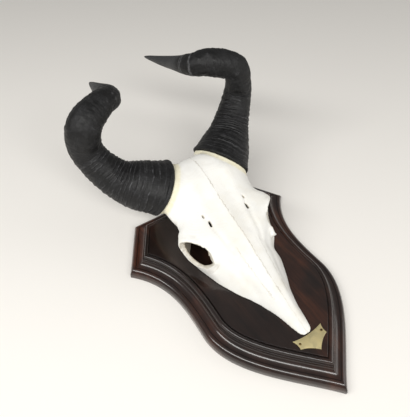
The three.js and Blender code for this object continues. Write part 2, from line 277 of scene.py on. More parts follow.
class Finish(Network):
    """The node tree of a new material, with the calls that only a material needs."""

    def __init__(self, name):
        self.material, tree, self.shader = material(name)
        super().__init__(tree)

    def set(self, name, value):
        self.put(self.shader.inputs[name], value)

    def place(self, scale=(1, 1, 1)):
        """Object coordinates, which a scale under one stretches along that axis."""
        source = self.add("ShaderNodeTexCoord")
        mapping = self.add("ShaderNodeMapping")
        mapping.inputs["Scale"].default_value = scale
        self.link(source.outputs["Object"], mapping.inputs["Vector"])
        return mapping.outputs["Vector"]

    def parts(self):
        """The three parts of the Object coordinates."""
        node = self.add("ShaderNodeSeparateXYZ")
        self.link(self.add("ShaderNodeTexCoord").outputs["Object"], node.inputs[0])
        return node.outputs

    def read(self, name):
        return self.add("ShaderNodeAttribute", attribute_name=name).outputs["Fac"]

    def ramp(self, value, stops):
        node = self.add("ShaderNodeValToRGB")
        band = node.color_ramp
        while len(band.elements) < len(stops):
            band.elements.new(0.5)
        for element, (place, colour) in zip(band.elements, stops):
            element.position = place
            element.color = (*colour, 1)
        self.link(value, node.inputs["Fac"])
        return node.outputs["Color"]

    def mix(self, share, a, b):
        node = self.add("ShaderNodeMix", data_type="RGBA")
        for socket, value in zip((node.inputs[0], node.inputs[6], node.inputs[7]), (share, a, b)):
            self.put(socket, value)
        return node.outputs[2]

    def bump(self, height, strength, distance, under=None):
        node = self.add("ShaderNodeBump")
        node.inputs["Strength"].default_value = strength
        node.inputs["Distance"].default_value = distance
        self.link(height, node.inputs["Height"])
        if under is not None:
            self.link(under, node.inputs["Normal"])
        return node.outputs["Normal"]

# %% [markdown]
# ## The shield
# The real shield is one board of dark hardwood. A router runs a moulding round its outline: a rounded lower
# edge, a wide hollow, a bead and a small step up to the flat panel. A sweep along a curve would round the
# mitred corners, so here each loop is the outline itself, moved inward along its mitres, and the profile
# gives how far in and how high each loop lies. Its corners stay crisp, as on the real board.

# %% The shield's outline
SHIELD_HALF_WIDTH = 150.0
SHIELD_TIP_Y = -313.0
SHIELD_TOP_Y = 79.0
SHIELD_TOP_HALF = 101.2
WAIST_HALF = 109.5
BELLY_HALF = 111.4
BELLY_Y = -150.0
PANEL_Z = 32.4
MOULDING_WIDTH = 31.0


def bezier(ends, steps):
    p0, p1, p2, p3 = (np.array(p, dtype=float) for p in ends)
    t = np.linspace(0, 1, steps + 1)[:, None]
    return (1 - t) ** 3 * p0 + 3 * t * (1 - t) ** 2 * p1 + 3 * t * t * (1 - t) * p2 + t ** 3 * p3


def straight(a, b, steps):
    t = np.linspace(0, 1, steps + 1)[:, None]
    return np.array(a) * (1 - t) + np.array(b) * t


LOWER_CURVE = [(0, SHIELD_TIP_Y), (42, SHIELD_TIP_Y + 49), (BELLY_HALF, BELLY_Y - 63), (BELLY_HALF, BELLY_Y)]
SWEEP_CURVE = [(BELLY_HALF, BELLY_Y), (WAIST_HALF, BELLY_Y + 45), (WAIST_HALF - 7.5, -48),
               (SHIELD_HALF_WIDTH, 0)]
SIDE = np.vstack([bezier(LOWER_CURVE, 300), bezier(SWEEP_CURVE, 300)[1:]])
SIDE_POINTS, CHAMFER_POINTS, TOP_POINTS = 150, 20, 22


def evenly(path, count):
    lengths = np.r_[0, np.cumsum(np.linalg.norm(np.diff(path, axis=0), axis=1))]
    at = np.linspace(0, lengths[-1], count)
    return np.column_stack([np.interp(at, lengths, path[:, 0]), np.interp(at, lengths, path[:, 1])])


def shield_loop(distance):
    """The shield's outline moved inward: each side is moved alone and cut where it meets the next."""
    along = np.gradient(SIDE, axis=0)
    along /= np.linalg.norm(along, axis=1)[:, None]
    side = SIDE + distance * np.column_stack([-along[:, 1], along[:, 0]])
    wing, shoulder = np.array([SHIELD_HALF_WIDTH, 0.0]), np.array([SHIELD_TOP_HALF, SHIELD_TOP_Y])
    slope = (shoulder - wing) / np.linalg.norm(shoulder - wing)
    inward = np.array([-slope[1], slope[0]])
    reach = (side - wing) @ inward - distance
    last = np.flatnonzero(reach > 1e-9)[-1]
    if last + 1 < len(side):
        share = reach[last] / (reach[last] - reach[last + 1])
        side = np.vstack([side[:last + 1], side[last] + share * (side[last + 1] - side[last])])
    first = np.flatnonzero(side[:, 0] > 1e-9)[0]
    if first > 0:
        share = side[first, 0] / (side[first, 0] - side[first - 1, 0])
        start = side[first] + share * (side[first - 1] - side[first])
        side = np.vstack([start, side[first:]])
    top_y = SHIELD_TOP_Y - distance
    corner = wing + inward * distance
    corner = corner + slope * ((top_y - corner[1]) / slope[1])
    half = np.vstack([
        evenly(side, SIDE_POINTS),
        straight(side[-1], corner, CHAMFER_POINTS)[1:],
        straight(corner, (0, top_y), TOP_POINTS)[1:],
    ])
    half[[0, -1], 0] = 0.0
    return np.vstack([half, half[1:-1][::-1] * (-1, 1)])


# %% [markdown]
# The moulding's profile is read from the outside in, and each part of it that a router cuts has its own
# line. Loops along it keep the corners crisp and the rounds smooth.

# %% The moulding's profile
def arc(centre, radii, start, end, steps):
    turns = np.radians(np.linspace(start, end, steps + 1))
    return [(centre[0] + radii[0] * math.cos(t), centre[1] + radii[1] * math.sin(t)) for t in turns]


def moulding_profile():
    """How far in and how high each loop of the rim lies, from the flat back up to the panel."""
    foot = [(2.2, 0.0), (0.9, 0.0), (0.3, 0.25), (0, 0.9), (0, 3.5), (0, 6.0)]
    roll = arc((8.2, 6.6), (8.2, 9.9), 180, 92, 20)
    lower_quirk = [(8.5, 16.4), (8.8, 15.9), (9.3, 15.9), (9.6, 16.5)]
    cove = arc((9.8, 25.0), (10.4, 8.4), -88, -4, 18)
    upper_quirk = [(20.2, 24.9), (20.4, 25.4), (20.8, 25.4), (21.15, 25.0), (21.4, 25.2)]
    bead = arc((25.1, 28.0), (3.6, 4.1), 208, 36, 22)
    step = [(28.2, 30.1), (28.6, 30.05), (28.95, 30.5), (29.4, 31.8), (29.6, 32.2), (30.0, PANEL_Z)]
    panel = [(MOULDING_WIDTH, PANEL_Z), (MOULDING_WIDTH + 3, PANEL_Z)]
    return foot + roll + lower_quirk + cove + upper_quirk + bead + step + panel


def build_shield():
    profile = moulding_profile()
    loops = []
    for distance, z in profile:
        outline = shield_loop(distance)
        loops.append(np.column_stack([outline, np.full(len(outline), z)]))
    size = len(loops[0])
    faces = loft_faces(len(loops), size) + flat_caps(len(loops), size)
    piece = new_piece("shield_board", np.vstack(loops) * MM, faces, 28)
    point_attribute(piece, "inward", np.repeat([distance for distance, _ in profile], size) / MOULDING_WIDTH)
    print("moulding:", len(profile), "loops of", size, "points")
    return piece


shield = build_shield()

# %% [markdown]
# ## The wood's finish
# Dark, reddish hardwood under a gloss lacquer. The grain runs from tip to top, so the noise is stretched
# along Y. The lacquer is a coat over the wood: its own roughness stays low, and the wood below is duller.
# The quirks are darkened almost to black as painted shade. The wood's red shows in patches on the outer
# mouldings and less on the right side: partly the wood's own tone, partly painted light from the left. Each
# point's own distance from the edge says where those are.

# %% Mix the wood
def wood_finish():
    net = Finish("lacquered_wood")
    fibres = net.noise(net.place((1.0, 0.07, 0.3)), 260, 5, 0.62, 0.4)
    bands = net.noise(net.place((1.0, 0.16, 0.35)), 24, 3, 0.5, 1.6)
    patches = net.noise(net.place(), 9, 3)
    grain = net.plus(net.times(fibres, 0.4), net.times(bands, 0.6))
    dark = net.ramp(grain, [(0.34, (0.0070, 0.0038, 0.0032)), (0.52, (0.0140, 0.0072, 0.0056)),
                            (0.7, (0.027, 0.0125, 0.0085))])
    red = net.ramp(grain, [(0.34, (0.017, 0.0058, 0.0036)), (0.52, (0.056, 0.0172, 0.0082)),
                           (0.7, (0.125, 0.038, 0.0145))])
    inward = net.read("inward")
    # Red patches on the outer mouldings, cut to 0.3 on the right side: partly the wood's own tone, partly
    # painted light from the left.
    red_patches_and_painted_light = net.times(net.step(inward, 0.7, 0.55), net.step(patches, 0.42, 0.58, 0.08, 1.0))
    red_patches_and_painted_light = net.times(red_patches_and_painted_light, net.step(net.parts()["X"], -0.01, 0.07, 1.0, 0.3))
    panel_warm = net.times(net.step(patches, 0.48, 0.64), 0.5)
    colour = net.mix(net.larger(red_patches_and_painted_light, panel_warm), dark, red)
    # Painted shade: the two quirks are darkened almost to black, as the shade at their bottoms.
    upper_quirk = net.times(net.step(inward, 0.9, 0.915), net.step(inward, 0.96, 0.935))
    lower_quirk = net.times(net.step(inward, 0.265, 0.28), net.step(inward, 0.33, 0.3))
    painted_quirk_shade = net.larger(upper_quirk, lower_quirk)
    net.set("Base Color", net.mix(net.times(painted_quirk_shade, 0.75), colour, (0.004, 0.003, 0.003)))
    smears = net.noise(net.place(), 34, 4, 0.6)
    net.set("Roughness", net.step(smears, 0.3, 0.75, 0.34, 0.5))
    net.set("Specular IOR Level", 0.2)
    net.set("Coat Weight", 1.0)
    net.set("Coat IOR", 1.5)
    net.set("Coat Roughness", 0.13)
    pores = net.noise(net.place((1.0, 0.05, 0.35)), 900, 2)
    grain_bump = net.bump(grain, 0.05, 0.0005)
    net.set("Normal", net.bump(net.step(pores, 0.35, 0.5), 0.05, 0.0002, grain_bump))
    waves = net.noise(net.place((1.0, 0.3, 1.0)), 55, 2)
    net.set("Coat Normal", net.bump(waves, 0.05, 0.0006))
    return net.material


finish_piece(shield, wood_finish(), "shield")

# %% [markdown]
# ## The horns' line
# A hartebeest's horn leaves the skull sideways, rises round an elbow and hooks back along its tip. Both
# horns are written on the left side and the right one is mirrored. Their points differ a little, as the two
# horns of an animal do. The line is a smooth curve through a few points, and each station on it has its own
# small frame, carried along without twisting. Near the skull the frame leans to lie in the slanted plane of
# the horn's rim.

# %% Lines, radii and frames
RIM_CENTRE = np.array([-54.0, 57.0, 98.1])
RIM_NORMAL = np.array([-0.759, 0.391, 0.521])
RIM_NORMAL /= np.linalg.norm(RIM_NORMAL)
RIM_LONG_AXIS = np.array([0.295, 0.919, -0.26])
RIM_LONG, RIM_SHORT = 47.4, 39.4
LEFT_LOWER = [(-93.0, 87.2, 103.3), (-114.8, 106.8, 118.7), (-135.2, 131.0, 159), (-129.4, 131.5, 200)]
RIGHT_LOWER = [(-90.9, 89.4, 104.7), (-112.6, 109, 120), (-136.5, 127.2, 159), (-136.4, 127.2, 181),
               (-130.6, 131.0, 205.5)]
LEFT_UPPER = [(-95.8, 148.5, 212.7), (-73.6, 166.5, 205.7), (-66.5, 229, 183), (-55.5, 301.5, 152)]
RIGHT_UPPER = [(-97, 152.8, 215.4), (-74.8, 167.8, 211.2), (-64.3, 227.2, 190.1), (-54.5, 301.5, 168)]
LEFT_RADII = [(0, 42), (0.11, 36.7), (0.19, 29.8), (0.31, 24.6), (0.36, 25.0), (0.42, 25.8), (0.47, 24.4),
              (0.52, 22.0), (0.58, 19.0), (0.63, 17.4), (0.68, 15.4), (0.77, 11.4), (0.86, 7.9), (0.93, 5.3),
              (0.975, 3.2), (0.992, 2.1), (1, 0.7)]
RIGHT_RADII = [(0, 42), (0.11, 37.4), (0.19, 31.4), (0.25, 27.6), (0.31, 24.4), (0.36, 22.4), (0.41, 20.9),
               (0.46, 21.2), (0.51, 22.2), (0.56, 21.8), (0.6, 20.3), (0.64, 18.0), (0.68, 15.6),
               (0.72, 13.4), (0.77, 11.4), (0.81, 10.0), (0.88, 7.2), (0.93, 5.1), (0.956, 4.0), (0.98, 2.6),
               (0.992, 1.8), (1, 0.7)]
TILT_END = 0.16
RINGED_LENGTH = 215.0
RINGED_STEP = 0.45
SMOOTH_STEP = 0.8

# %% [markdown]
# Three small tools turn these numbers into curves: one runs smoothly through values, one eases from 0 to 1,
# and one runs a line through points in space and makes no loop where two points lie close together.

# %% Curves through points
def hermite(xs, ys, at):
    """A smooth curve through the values ys at the places xs, with no overshoot at its ends."""
    xs, ys = np.asarray(xs, float), np.asarray(ys, float)
    if ys.ndim == 1:
        ys = ys[:, None]
    slopes = np.empty_like(ys)
    slopes[1:-1] = (ys[2:] - ys[:-2]) / (xs[2:] - xs[:-2])[:, None]
    slopes[0] = (ys[1] - ys[0]) / (xs[1] - xs[0])
    slopes[-1] = (ys[-1] - ys[-2]) / (xs[-1] - xs[-2])
    k = np.clip(np.searchsorted(xs, at, side="right") - 1, 0, len(xs) - 2)
    step = (xs[k + 1] - xs[k])[:, None]
    t = ((at - xs[k])[:, None]) / step
    value = (1 + 2 * t) * (1 - t) ** 2 * ys[k] + t * (1 - t) ** 2 * step * slopes[k]
    value += t * t * (3 - 2 * t) * ys[k + 1] + t * t * (t - 1) * step * slopes[k + 1]
    return value


def smoothstep(x, low, high):
    """Goes smoothly from 0 to 1 while x goes from low to high."""
    t = np.clip((x - low) / (high - low), 0, 1)
    return t * t * (3 - 2 * t)


def centripetal(points, steps=60):
    """The centripetal Catmull-Rom curve through the points, as evenly spaced stations can be cut from it."""
    p = [np.array(q, dtype=float) for q in points]
    p = [p[0] - (p[1] - p[0])] + p + [p[-1] + (p[-1] - p[-2])]
    out = []
    for a, b, c, d in zip(p, p[1:], p[2:], p[3:]):
        gaps = [max(np.linalg.norm(v - u), 1e-6) ** 0.5 for u, v in ((a, b), (b, c), (c, d))]
        t1 = gaps[1] * ((b - a) / gaps[0] - (c - a) / (gaps[0] + gaps[1]) + (c - b) / gaps[1])
        t2 = gaps[1] * ((c - b) / gaps[1] - (d - b) / (gaps[1] + gaps[2]) + (d - c) / gaps[2])
        t = np.linspace(0, 1, steps, endpoint=False)[:, None]
        out.append((2 * t ** 3 - 3 * t ** 2 + 1) * b + (t ** 3 - 2 * t ** 2 + t) * t1
                   + (3 * t ** 2 - 2 * t ** 3) * c + (t ** 3 - t ** 2) * t2)
    return np.vstack(out + [p[-2][None]])

# %% [markdown]
# Each station's frame holds the horn's direction and the two axes of its oval. The stations lie closer
# together where the rings are, because each ring needs a few of them.

# %% Lay the stations
def horn_frames(lower, upper, radii):
    """Stations along a horn: each has its centre, its normal and the two axes of its oval."""
    dense = centripetal([tuple(RIM_CENTRE)] + lower + upper)
    lengths = np.r_[0, np.cumsum(np.linalg.norm(np.diff(dense, axis=0), axis=1))]
    ringed = np.arange(0, RINGED_LENGTH, RINGED_STEP)
    smooth = np.linspace(RINGED_LENGTH, lengths[-1], int((lengths[-1] - RINGED_LENGTH) / SMOOTH_STEP))
    along = np.r_[ringed, smooth]
    centres = np.stack([np.interp(along, lengths, dense[:, i]) for i in range(3)], axis=1)
    share = along / lengths[-1]
    tangents = np.gradient(centres, along, axis=0)
    tangents /= np.linalg.norm(tangents, axis=1)[:, None]
    settle = smoothstep(share, 0, TILT_END)
    normals = RIM_NORMAL * (1 - settle[:, None]) + tangents * settle[:, None]
    normals /= np.linalg.norm(normals, axis=1)[:, None]
    longs, shorts = np.empty_like(normals), np.empty_like(normals)
    long = RIM_LONG_AXIS
    for k, normal in enumerate(normals):
        short = np.cross(long, normal)
        short /= np.linalg.norm(short)
        long = np.cross(normal, short)
        longs[k], shorts[k] = long, short
    radius = hermite(*zip(*radii), share)[:, 0]
    a = RIM_LONG * (1 - settle) + radius * settle
    b = RIM_SHORT * (1 - settle) + radius * settle
    bend = np.gradient(tangents, along, axis=0)
    return dict(along=along, centre=centres, normal=normals, long=longs, short=shorts, a=a, b=b, bend=bend)


left_frames = horn_frames(LEFT_LOWER, LEFT_UPPER, LEFT_RADII)
right_frames = horn_frames(RIGHT_LOWER, RIGHT_UPPER, RIGHT_RADII)
print("horn lengths in millimetres:", round(left_frames["along"][-1]), round(right_frames["along"][-1]))

# %% [markdown]
# ## The horn's skin
# A plain tube along the line carries a few numbers on every point: how far along the horn it is, which way
# it faces round the horn, and how much it lies on the hollow side of the bend. Its mouth is a hollow socket
# with a rolled edge, and its tip is a small dome.

# %% Build a plain horn
HORN_SIDES = 104
SHEATH_WALL = 4.4
SOCKET_DEPTH = 9.0
TIP_DOME = 0.2
FULL_BEND = 48.0
MOUTH_STEPS = [(-SHEATH_WALL - 1.5, SOCKET_DEPTH), (-SHEATH_WALL, SOCKET_DEPTH), (-SHEATH_WALL, 1.0),
               (-SHEATH_WALL + 0.7, 0.0), (-1.2, 0.0), (-0.35, 0.35)]


def horn_tube(name, frames, side):
    turns = np.linspace(0, 2 * np.pi, HORN_SIDES, endpoint=False)
    circle = np.stack([np.cos(turns), np.sin(turns)], axis=1)

    def loop(k, grow=0.0, shift=0.0):
        centre = frames["centre"][k] + frames["normal"][k] * shift
        long = np.outer(circle[:, 0] * (frames["a"][k] + grow), frames["long"][k])
        return centre + long + np.outer(circle[:, 1] * (frames["b"][k] + grow), frames["short"][k])

    loops = [loop(0, grow, shift) for grow, shift in MOUTH_STEPS]
    inner = len(loops)
    loops += [loop(k) for k in range(1, len(frames["along"]))]
    along = np.r_[np.full(inner, -1.0), frames["along"][1:]]
    points = np.vstack(loops)
    ends = [points[:HORN_SIDES].mean(axis=0), frames["centre"][-1] + frames["normal"][-1] * TIP_DOME]
    points = np.vstack([points, ends]) * (side, 1, 1) * MM
    piece = new_piece(name, points, loft_faces(len(loops), HORN_SIDES) + cap_faces(len(loops), HORN_SIDES))
    bend, long, short = (np.vstack([np.zeros((inner, 3)), frames[k][1:]]) for k in ("bend", "long", "short"))
    hollow_side = np.outer((bend * long).sum(axis=1), circle[:, 0])
    hollow_side += np.outer((bend * short).sum(axis=1), circle[:, 1])
    numbers = {
        "along": np.repeat(along, HORN_SIDES),
        "east": np.tile(circle[:, 0], len(loops)),
        "north": np.tile(circle[:, 1], len(loops)),
        "hollow_side": np.clip(hollow_side * FULL_BEND, -1, 1).ravel(),
    }
    for attribute_name, values in numbers.items():
        last_value = along[-1] if attribute_name == "along" else 0.0
        point_attribute(piece, attribute_name, np.r_[values, values[0], last_value])
    return piece


left_tube = horn_tube("horn_sheath_left", left_frames, 1)
right_tube = horn_tube("horn_sheath_right", right_frames, -1)
print("plain horn points:", len(left_tube.data.vertices), len(right_tube.data.vertices))

# %% [markdown]
# ## The growth rings
# The rings repeat along the horn by a rule, so a tree of Geometry Nodes makes them: fine rings a few
# millimetres apart, and heavier swellings that come and go round the horn. Noise bends both, and both fade
# towards the smooth tip. Dents, wrinkles and a flared lip are added, and each point is pushed out along its
# normal by the sum. The tree's inputs are the sizes below and a seed, which makes the two horns differ.

# %% The growth rings
RING_SIZES = {
    "Fine Spacing": 3.3,
    "Fine Depth": 0.6,
    "Heavy Spacing": 7.4,
    "Heavy Depth": 1.35,
    "Wander": 11.0,
    "Wrinkle Depth": 3.1,
    "Dent Depth": 2.8,
    "Lip Flare": 3.4,
}


class RingRule(Network):
    """The rule of the rings: each part of the height that a point is pushed out by is one call."""

    def __init__(self, tree, sizes):
        super().__init__(tree)
        self.sizes = sizes
        self.along, self.hollow_side = self.read("along"), self.read("hollow_side")
        self.east, self.north = self.read("east"), self.read("north")
        self.seed = self.times(sizes["Seed"], 17.3)
        self.skin = self.around(1.0, self.times(self.along, 0.018))
        bend = self.times(self.swing(self.skin, 1.1, 3), sizes["Wander"])
        ripple = self.times(self.swing(self.skin, 4.2, 2), self.times(sizes["Wander"], 0.25))
        self.bent = self.plus(self.along, self.plus(bend, ripple))
        along_only = self.vector(self.seed, 0.0, self.times(self.bent, 0.09))
        self.uneven = self.plus(self.bent, self.times(self.swing(along_only, 0.9, 2), 7.0))

    def read(self, name):
        node = self.add("GeometryNodeInputNamedAttribute", data_type="FLOAT")
        node.inputs["Name"].default_value = name
        return node.outputs["Attribute"]

    def around(self, scale, height):
        """A place for noise that runs round the horn, moved by the seed."""
        east = self.plus(self.times(self.east, scale), self.seed)
        return self.vector(east, self.times(self.north, scale), height)

    def swing(self, vector, scale, detail):
        """Noise round zero."""
        return self.minus(self.noise(vector, scale, detail), 0.5)

    def fade(self, *steps):
        """The product of a few smooth steps along the horn."""
        made = self.step(self.along, *steps[0])
        for more in steps[1:]:
            made = self.times(made, self.step(self.along, *more))
        return made

    def saw(self, name, rise_end, top, middle):
        """Rings that rise fast and fall slowly towards the next, as overlapping scales do."""
        part = self.math("FRACT", self.math("DIVIDE", self.uneven, self.sizes[name + " Spacing"]))
        wave = self.times(self.step(part, 0.0, rise_end), self.minus(top, part))
        return self.times(self.minus(wave, middle), self.sizes[name + " Depth"])

    def fine(self):
        patches = self.swing(self.around(1.4, self.times(self.bent, 0.11)), 1.6, 3)
        strength = self.step(patches, -0.16, 0.14, 0.12, 1.15)
        fade = self.fade((150.0, 65.0, 0.16, 1.25), (300.0, 230.0, 0.04, 1.0))
        return self.times(self.saw("Fine", 0.3, 1.3, 0.75), self.times(strength, fade))

    def heavy(self):
        strength = self.step(self.swing(self.skin, 1.5, 2), -0.12, 0.14, 0.4, 1.0)
        strength = self.plus(strength, self.times(self.larger(self.hollow_side, 0.0), 0.9))
        fade = self.fade((160.0, 70.0, 0.26, 1.0), (275.0, 245.0))
        return self.times(self.times(self.saw("Heavy", 0.35, 1.25, 0.6), strength), fade)

    def dents(self):
        fade = self.fade((320.0, 200.0, 0.12, 1.0), (10.0, 90.0, 0.3, 1.0))
        return self.times(self.times(self.swing(self.skin, 1.9, 3), self.sizes["Dent Depth"]), fade)

    def wrinkles(self):
        across = self.around(1.1, self.times(self.bent, 0.085))
        fade = self.fade((290.0, 240.0, 0.04, 1.0), (0.0, 60.0, 0.5, 1.0))
        return self.times(self.times(self.swing(across, 2.0, 3), self.sizes["Wrinkle Depth"]), fade)

    def lip(self):
        """The flare at the horn's mouth and the small step behind it."""
        flare = self.times(self.math("POWER", self.fade((30.0, -8.0)), 1.6), self.sizes["Lip Flare"])
        return self.plus(flare, self.times(self.fade((7.5, 5.0)), 0.9))

# %% [markdown]
# The tree itself is short: it takes the plain horn and the sizes, moves each point by its height, keeps the
# relief for the finish, and ends with real instances and the horn's material. A modifier runs it, and the
# mesh that comes out replaces the plain one, so the piece is an ordinary mesh in the end.

# %% Build the tree
def growth_ring_tree(finish, horn_length):
    tree = bpy.data.node_groups.new("growth_rings", "GeometryNodeTree")
    tree.interface.new_socket("Geometry", in_out="INPUT", socket_type="NodeSocketGeometry")
    for name in [*RING_SIZES, "Seed"]:
        tree.interface.new_socket(name, in_out="INPUT", socket_type="NodeSocketFloat")
    tree.interface.new_socket("Geometry", in_out="OUTPUT", socket_type="NodeSocketGeometry")
    entry = tree.nodes.new("NodeGroupInput")
    rule = RingRule(tree, {socket.name: socket for socket in entry.outputs})
    fine, heavy, wrinkles = rule.fine(), rule.heavy(), rule.wrinkles()
    height = rule.plus(rule.plus(fine, heavy), rule.plus(rule.plus(rule.dents(), wrinkles), rule.lip()))
    height = rule.times(height, rule.fade((0.0, 1.6), (horn_length, horn_length - 30.0)))
    relief = rule.plus(fine, rule.plus(rule.times(heavy, 0.5), rule.times(wrinkles, 0.25)))

    push = rule.add("ShaderNodeVectorMath", operation="SCALE")
    rule.link(rule.add("GeometryNodeInputNormal").outputs[0], push.inputs[0])
    rule.link(rule.times(height, MM), push.inputs["Scale"])
    move = rule.add("GeometryNodeSetPosition")
    rule.link(entry.outputs["Geometry"], move.inputs["Geometry"])
    rule.link(push.outputs[0], move.inputs["Offset"])
    store = rule.add("GeometryNodeStoreNamedAttribute", data_type="FLOAT", domain="POINT")
    store.inputs["Name"].default_value = "relief"
    rule.link(move.outputs[0], store.inputs["Geometry"])
    rule.link(relief, store.inputs["Value"])
    realize = rule.add("GeometryNodeRealizeInstances")
    rule.link(store.outputs[0], realize.inputs[0])
    paint = rule.add("GeometryNodeSetMaterial")
    paint.inputs["Material"].default_value = finish
    rule.link(realize.outputs[0], paint.inputs["Geometry"])
    rule.link(paint.outputs[0], rule.add("NodeGroupOutput").inputs[0])
    print("nodes in the ring tree:", len(tree.nodes))
    return tree


def plain_mesh(piece):
    """Replaces a piece's mesh by the one that its modifiers make, and takes the modifiers off."""
    evaluated = piece.evaluated_get(bpy.context.evaluated_depsgraph_get())
    made = bpy.data.meshes.new_from_object(evaluated)
    piece.modifiers.clear()
    piece.data = made
    return piece


def ring_up(piece, tree, seed):
    """Runs the tree on a piece, with its sizes set by the identifiers of the tree's sockets."""
    modifier = piece.modifiers.new("rings", "NODES")
    modifier.node_group = tree
    sizes = {**RING_SIZES, "Seed": float(seed)}
    for item in tree.interface.items_tree:
        if item.in_out == "INPUT" and item.name in sizes:
            modifier[item.identifier] = sizes[item.name]
    return plain_mesh(piece)

# %% [markdown]
# ## The horn's finish
# Horn is keratin, like a fingernail: charcoal black here. The tip is a little greyer, partly its own tone
# and partly a painted sheen. The raised rings get a painted highlight in their colour and a real shine from
# a lower roughness, and the grooves get painted shade. The relief that the rings left on each point drives
# both. A few rings near the tip are worn to light lines.

# %% Mix the horn
LIGHT_RINGS = (249, 262.5, 266)


def horn_finish():
    net = Finish("black_horn")
    relief, along = net.read("relief"), net.read("along")
    round_it = net.vector(net.read("east"), net.read("north"), net.times(along, 0.006))
    fibres = net.noise(round_it, 38, 5, 0.65)
    mottle = net.noise(net.place(), 55, 5, 0.6)
    streaks = net.noise(net.place(), 260, 4, 0.6)
    base = net.ramp(mottle, [(0.3, (0.0046, 0.0045, 0.0047)), (0.52, (0.0072, 0.0071, 0.0075)),
                             (0.72, (0.0135, 0.0135, 0.0145))])
    # Painted highlight: the raised ring crests are lightened to grey, as grazing light catches them; the
    # same mask lowers their roughness.
    painted_crest_sheen = net.times(net.step(relief, 0.06, 0.28), net.step(streaks, 0.4, 0.6, 0.2, 0.95))
    colour = net.mix(painted_crest_sheen, base, (0.072, 0.072, 0.077))
    # Painted shade: the grooves between the rings are darkened, as shade lies in them.
    painted_groove_shade = net.step(relief, -0.1, -0.5)
    colour = net.mix(net.times(painted_groove_shade, 0.85), colour, (0.0042, 0.004, 0.0043))
    worn = net.times(net.step(fibres, 0.5, 0.66), net.step(mottle, 0.42, 0.6, 0.1, 0.55))
    colour = net.mix(worn, colour, (0.045, 0.045, 0.048))
    # The tip is greyer: partly the horn's own tone, partly a painted sheen of the bright room.
    tip_tone_and_sheen = net.step(net.plus(along, net.times(fibres, 14.0)), 273.0, 292.0)
    colour = net.mix(net.times(tip_tone_and_sheen, 0.6), colour, (0.06, 0.061, 0.064))
    wavy = net.plus(along, net.times(net.minus(mottle, 0.5), 5.0))
    for ring_place in LIGHT_RINGS:
        off = net.math("ABSOLUTE", net.minus(wavy, ring_place))
        line = net.times(net.step(off, 1.5, 0.3), net.step(streaks, 0.35, 0.6, 0.3, 0.8))
        colour = net.mix(line, colour, (0.11, 0.11, 0.114))
    net.set("Base Color", colour)
    rough = net.step(mottle, 0.3, 0.7, 0.46, 0.64)
    net.set("Roughness", net.minus(rough, net.times(painted_crest_sheen, 0.1)))
    net.set("Specular IOR Level", 0.35)
    fine_skin = net.noise(net.place(), 560, 3, 0.6)
    fibre_bump = net.bump(fibres, 0.35, 0.0007)
    streak_bump = net.bump(streaks, 0.3, 0.0006, fibre_bump)
    net.set("Normal", net.bump(fine_skin, 0.2, 0.00025, streak_bump))
    return net.material


horn_black = horn_finish()
rings = growth_ring_tree(horn_black, float(left_frames["along"][-1]))
horn_left = ring_up(left_tube, rings, 1)
horn_right = ring_up(right_tube, rings, 2)
finish_piece(horn_left, horn_black, "horn_left")
finish_piece(horn_right, horn_black, "horn_right")

# %% [markdown]
# ## The skull
# Bone has no edges that a lathe or a saw would leave: its sheets flow into each other. So the skull is
# sculpted as a distance field, a block of numbers that say how far each point in space is from the bone.
# Two fields join with a soft fillet by a smooth minimum, a hollow is cut by a maximum, and a groove is a
# small number added along a line. OpenVDB turns meshes into such fields and the finished field back into a
# mesh. First come the cross-sections of the bone from the nose to the back of the head.

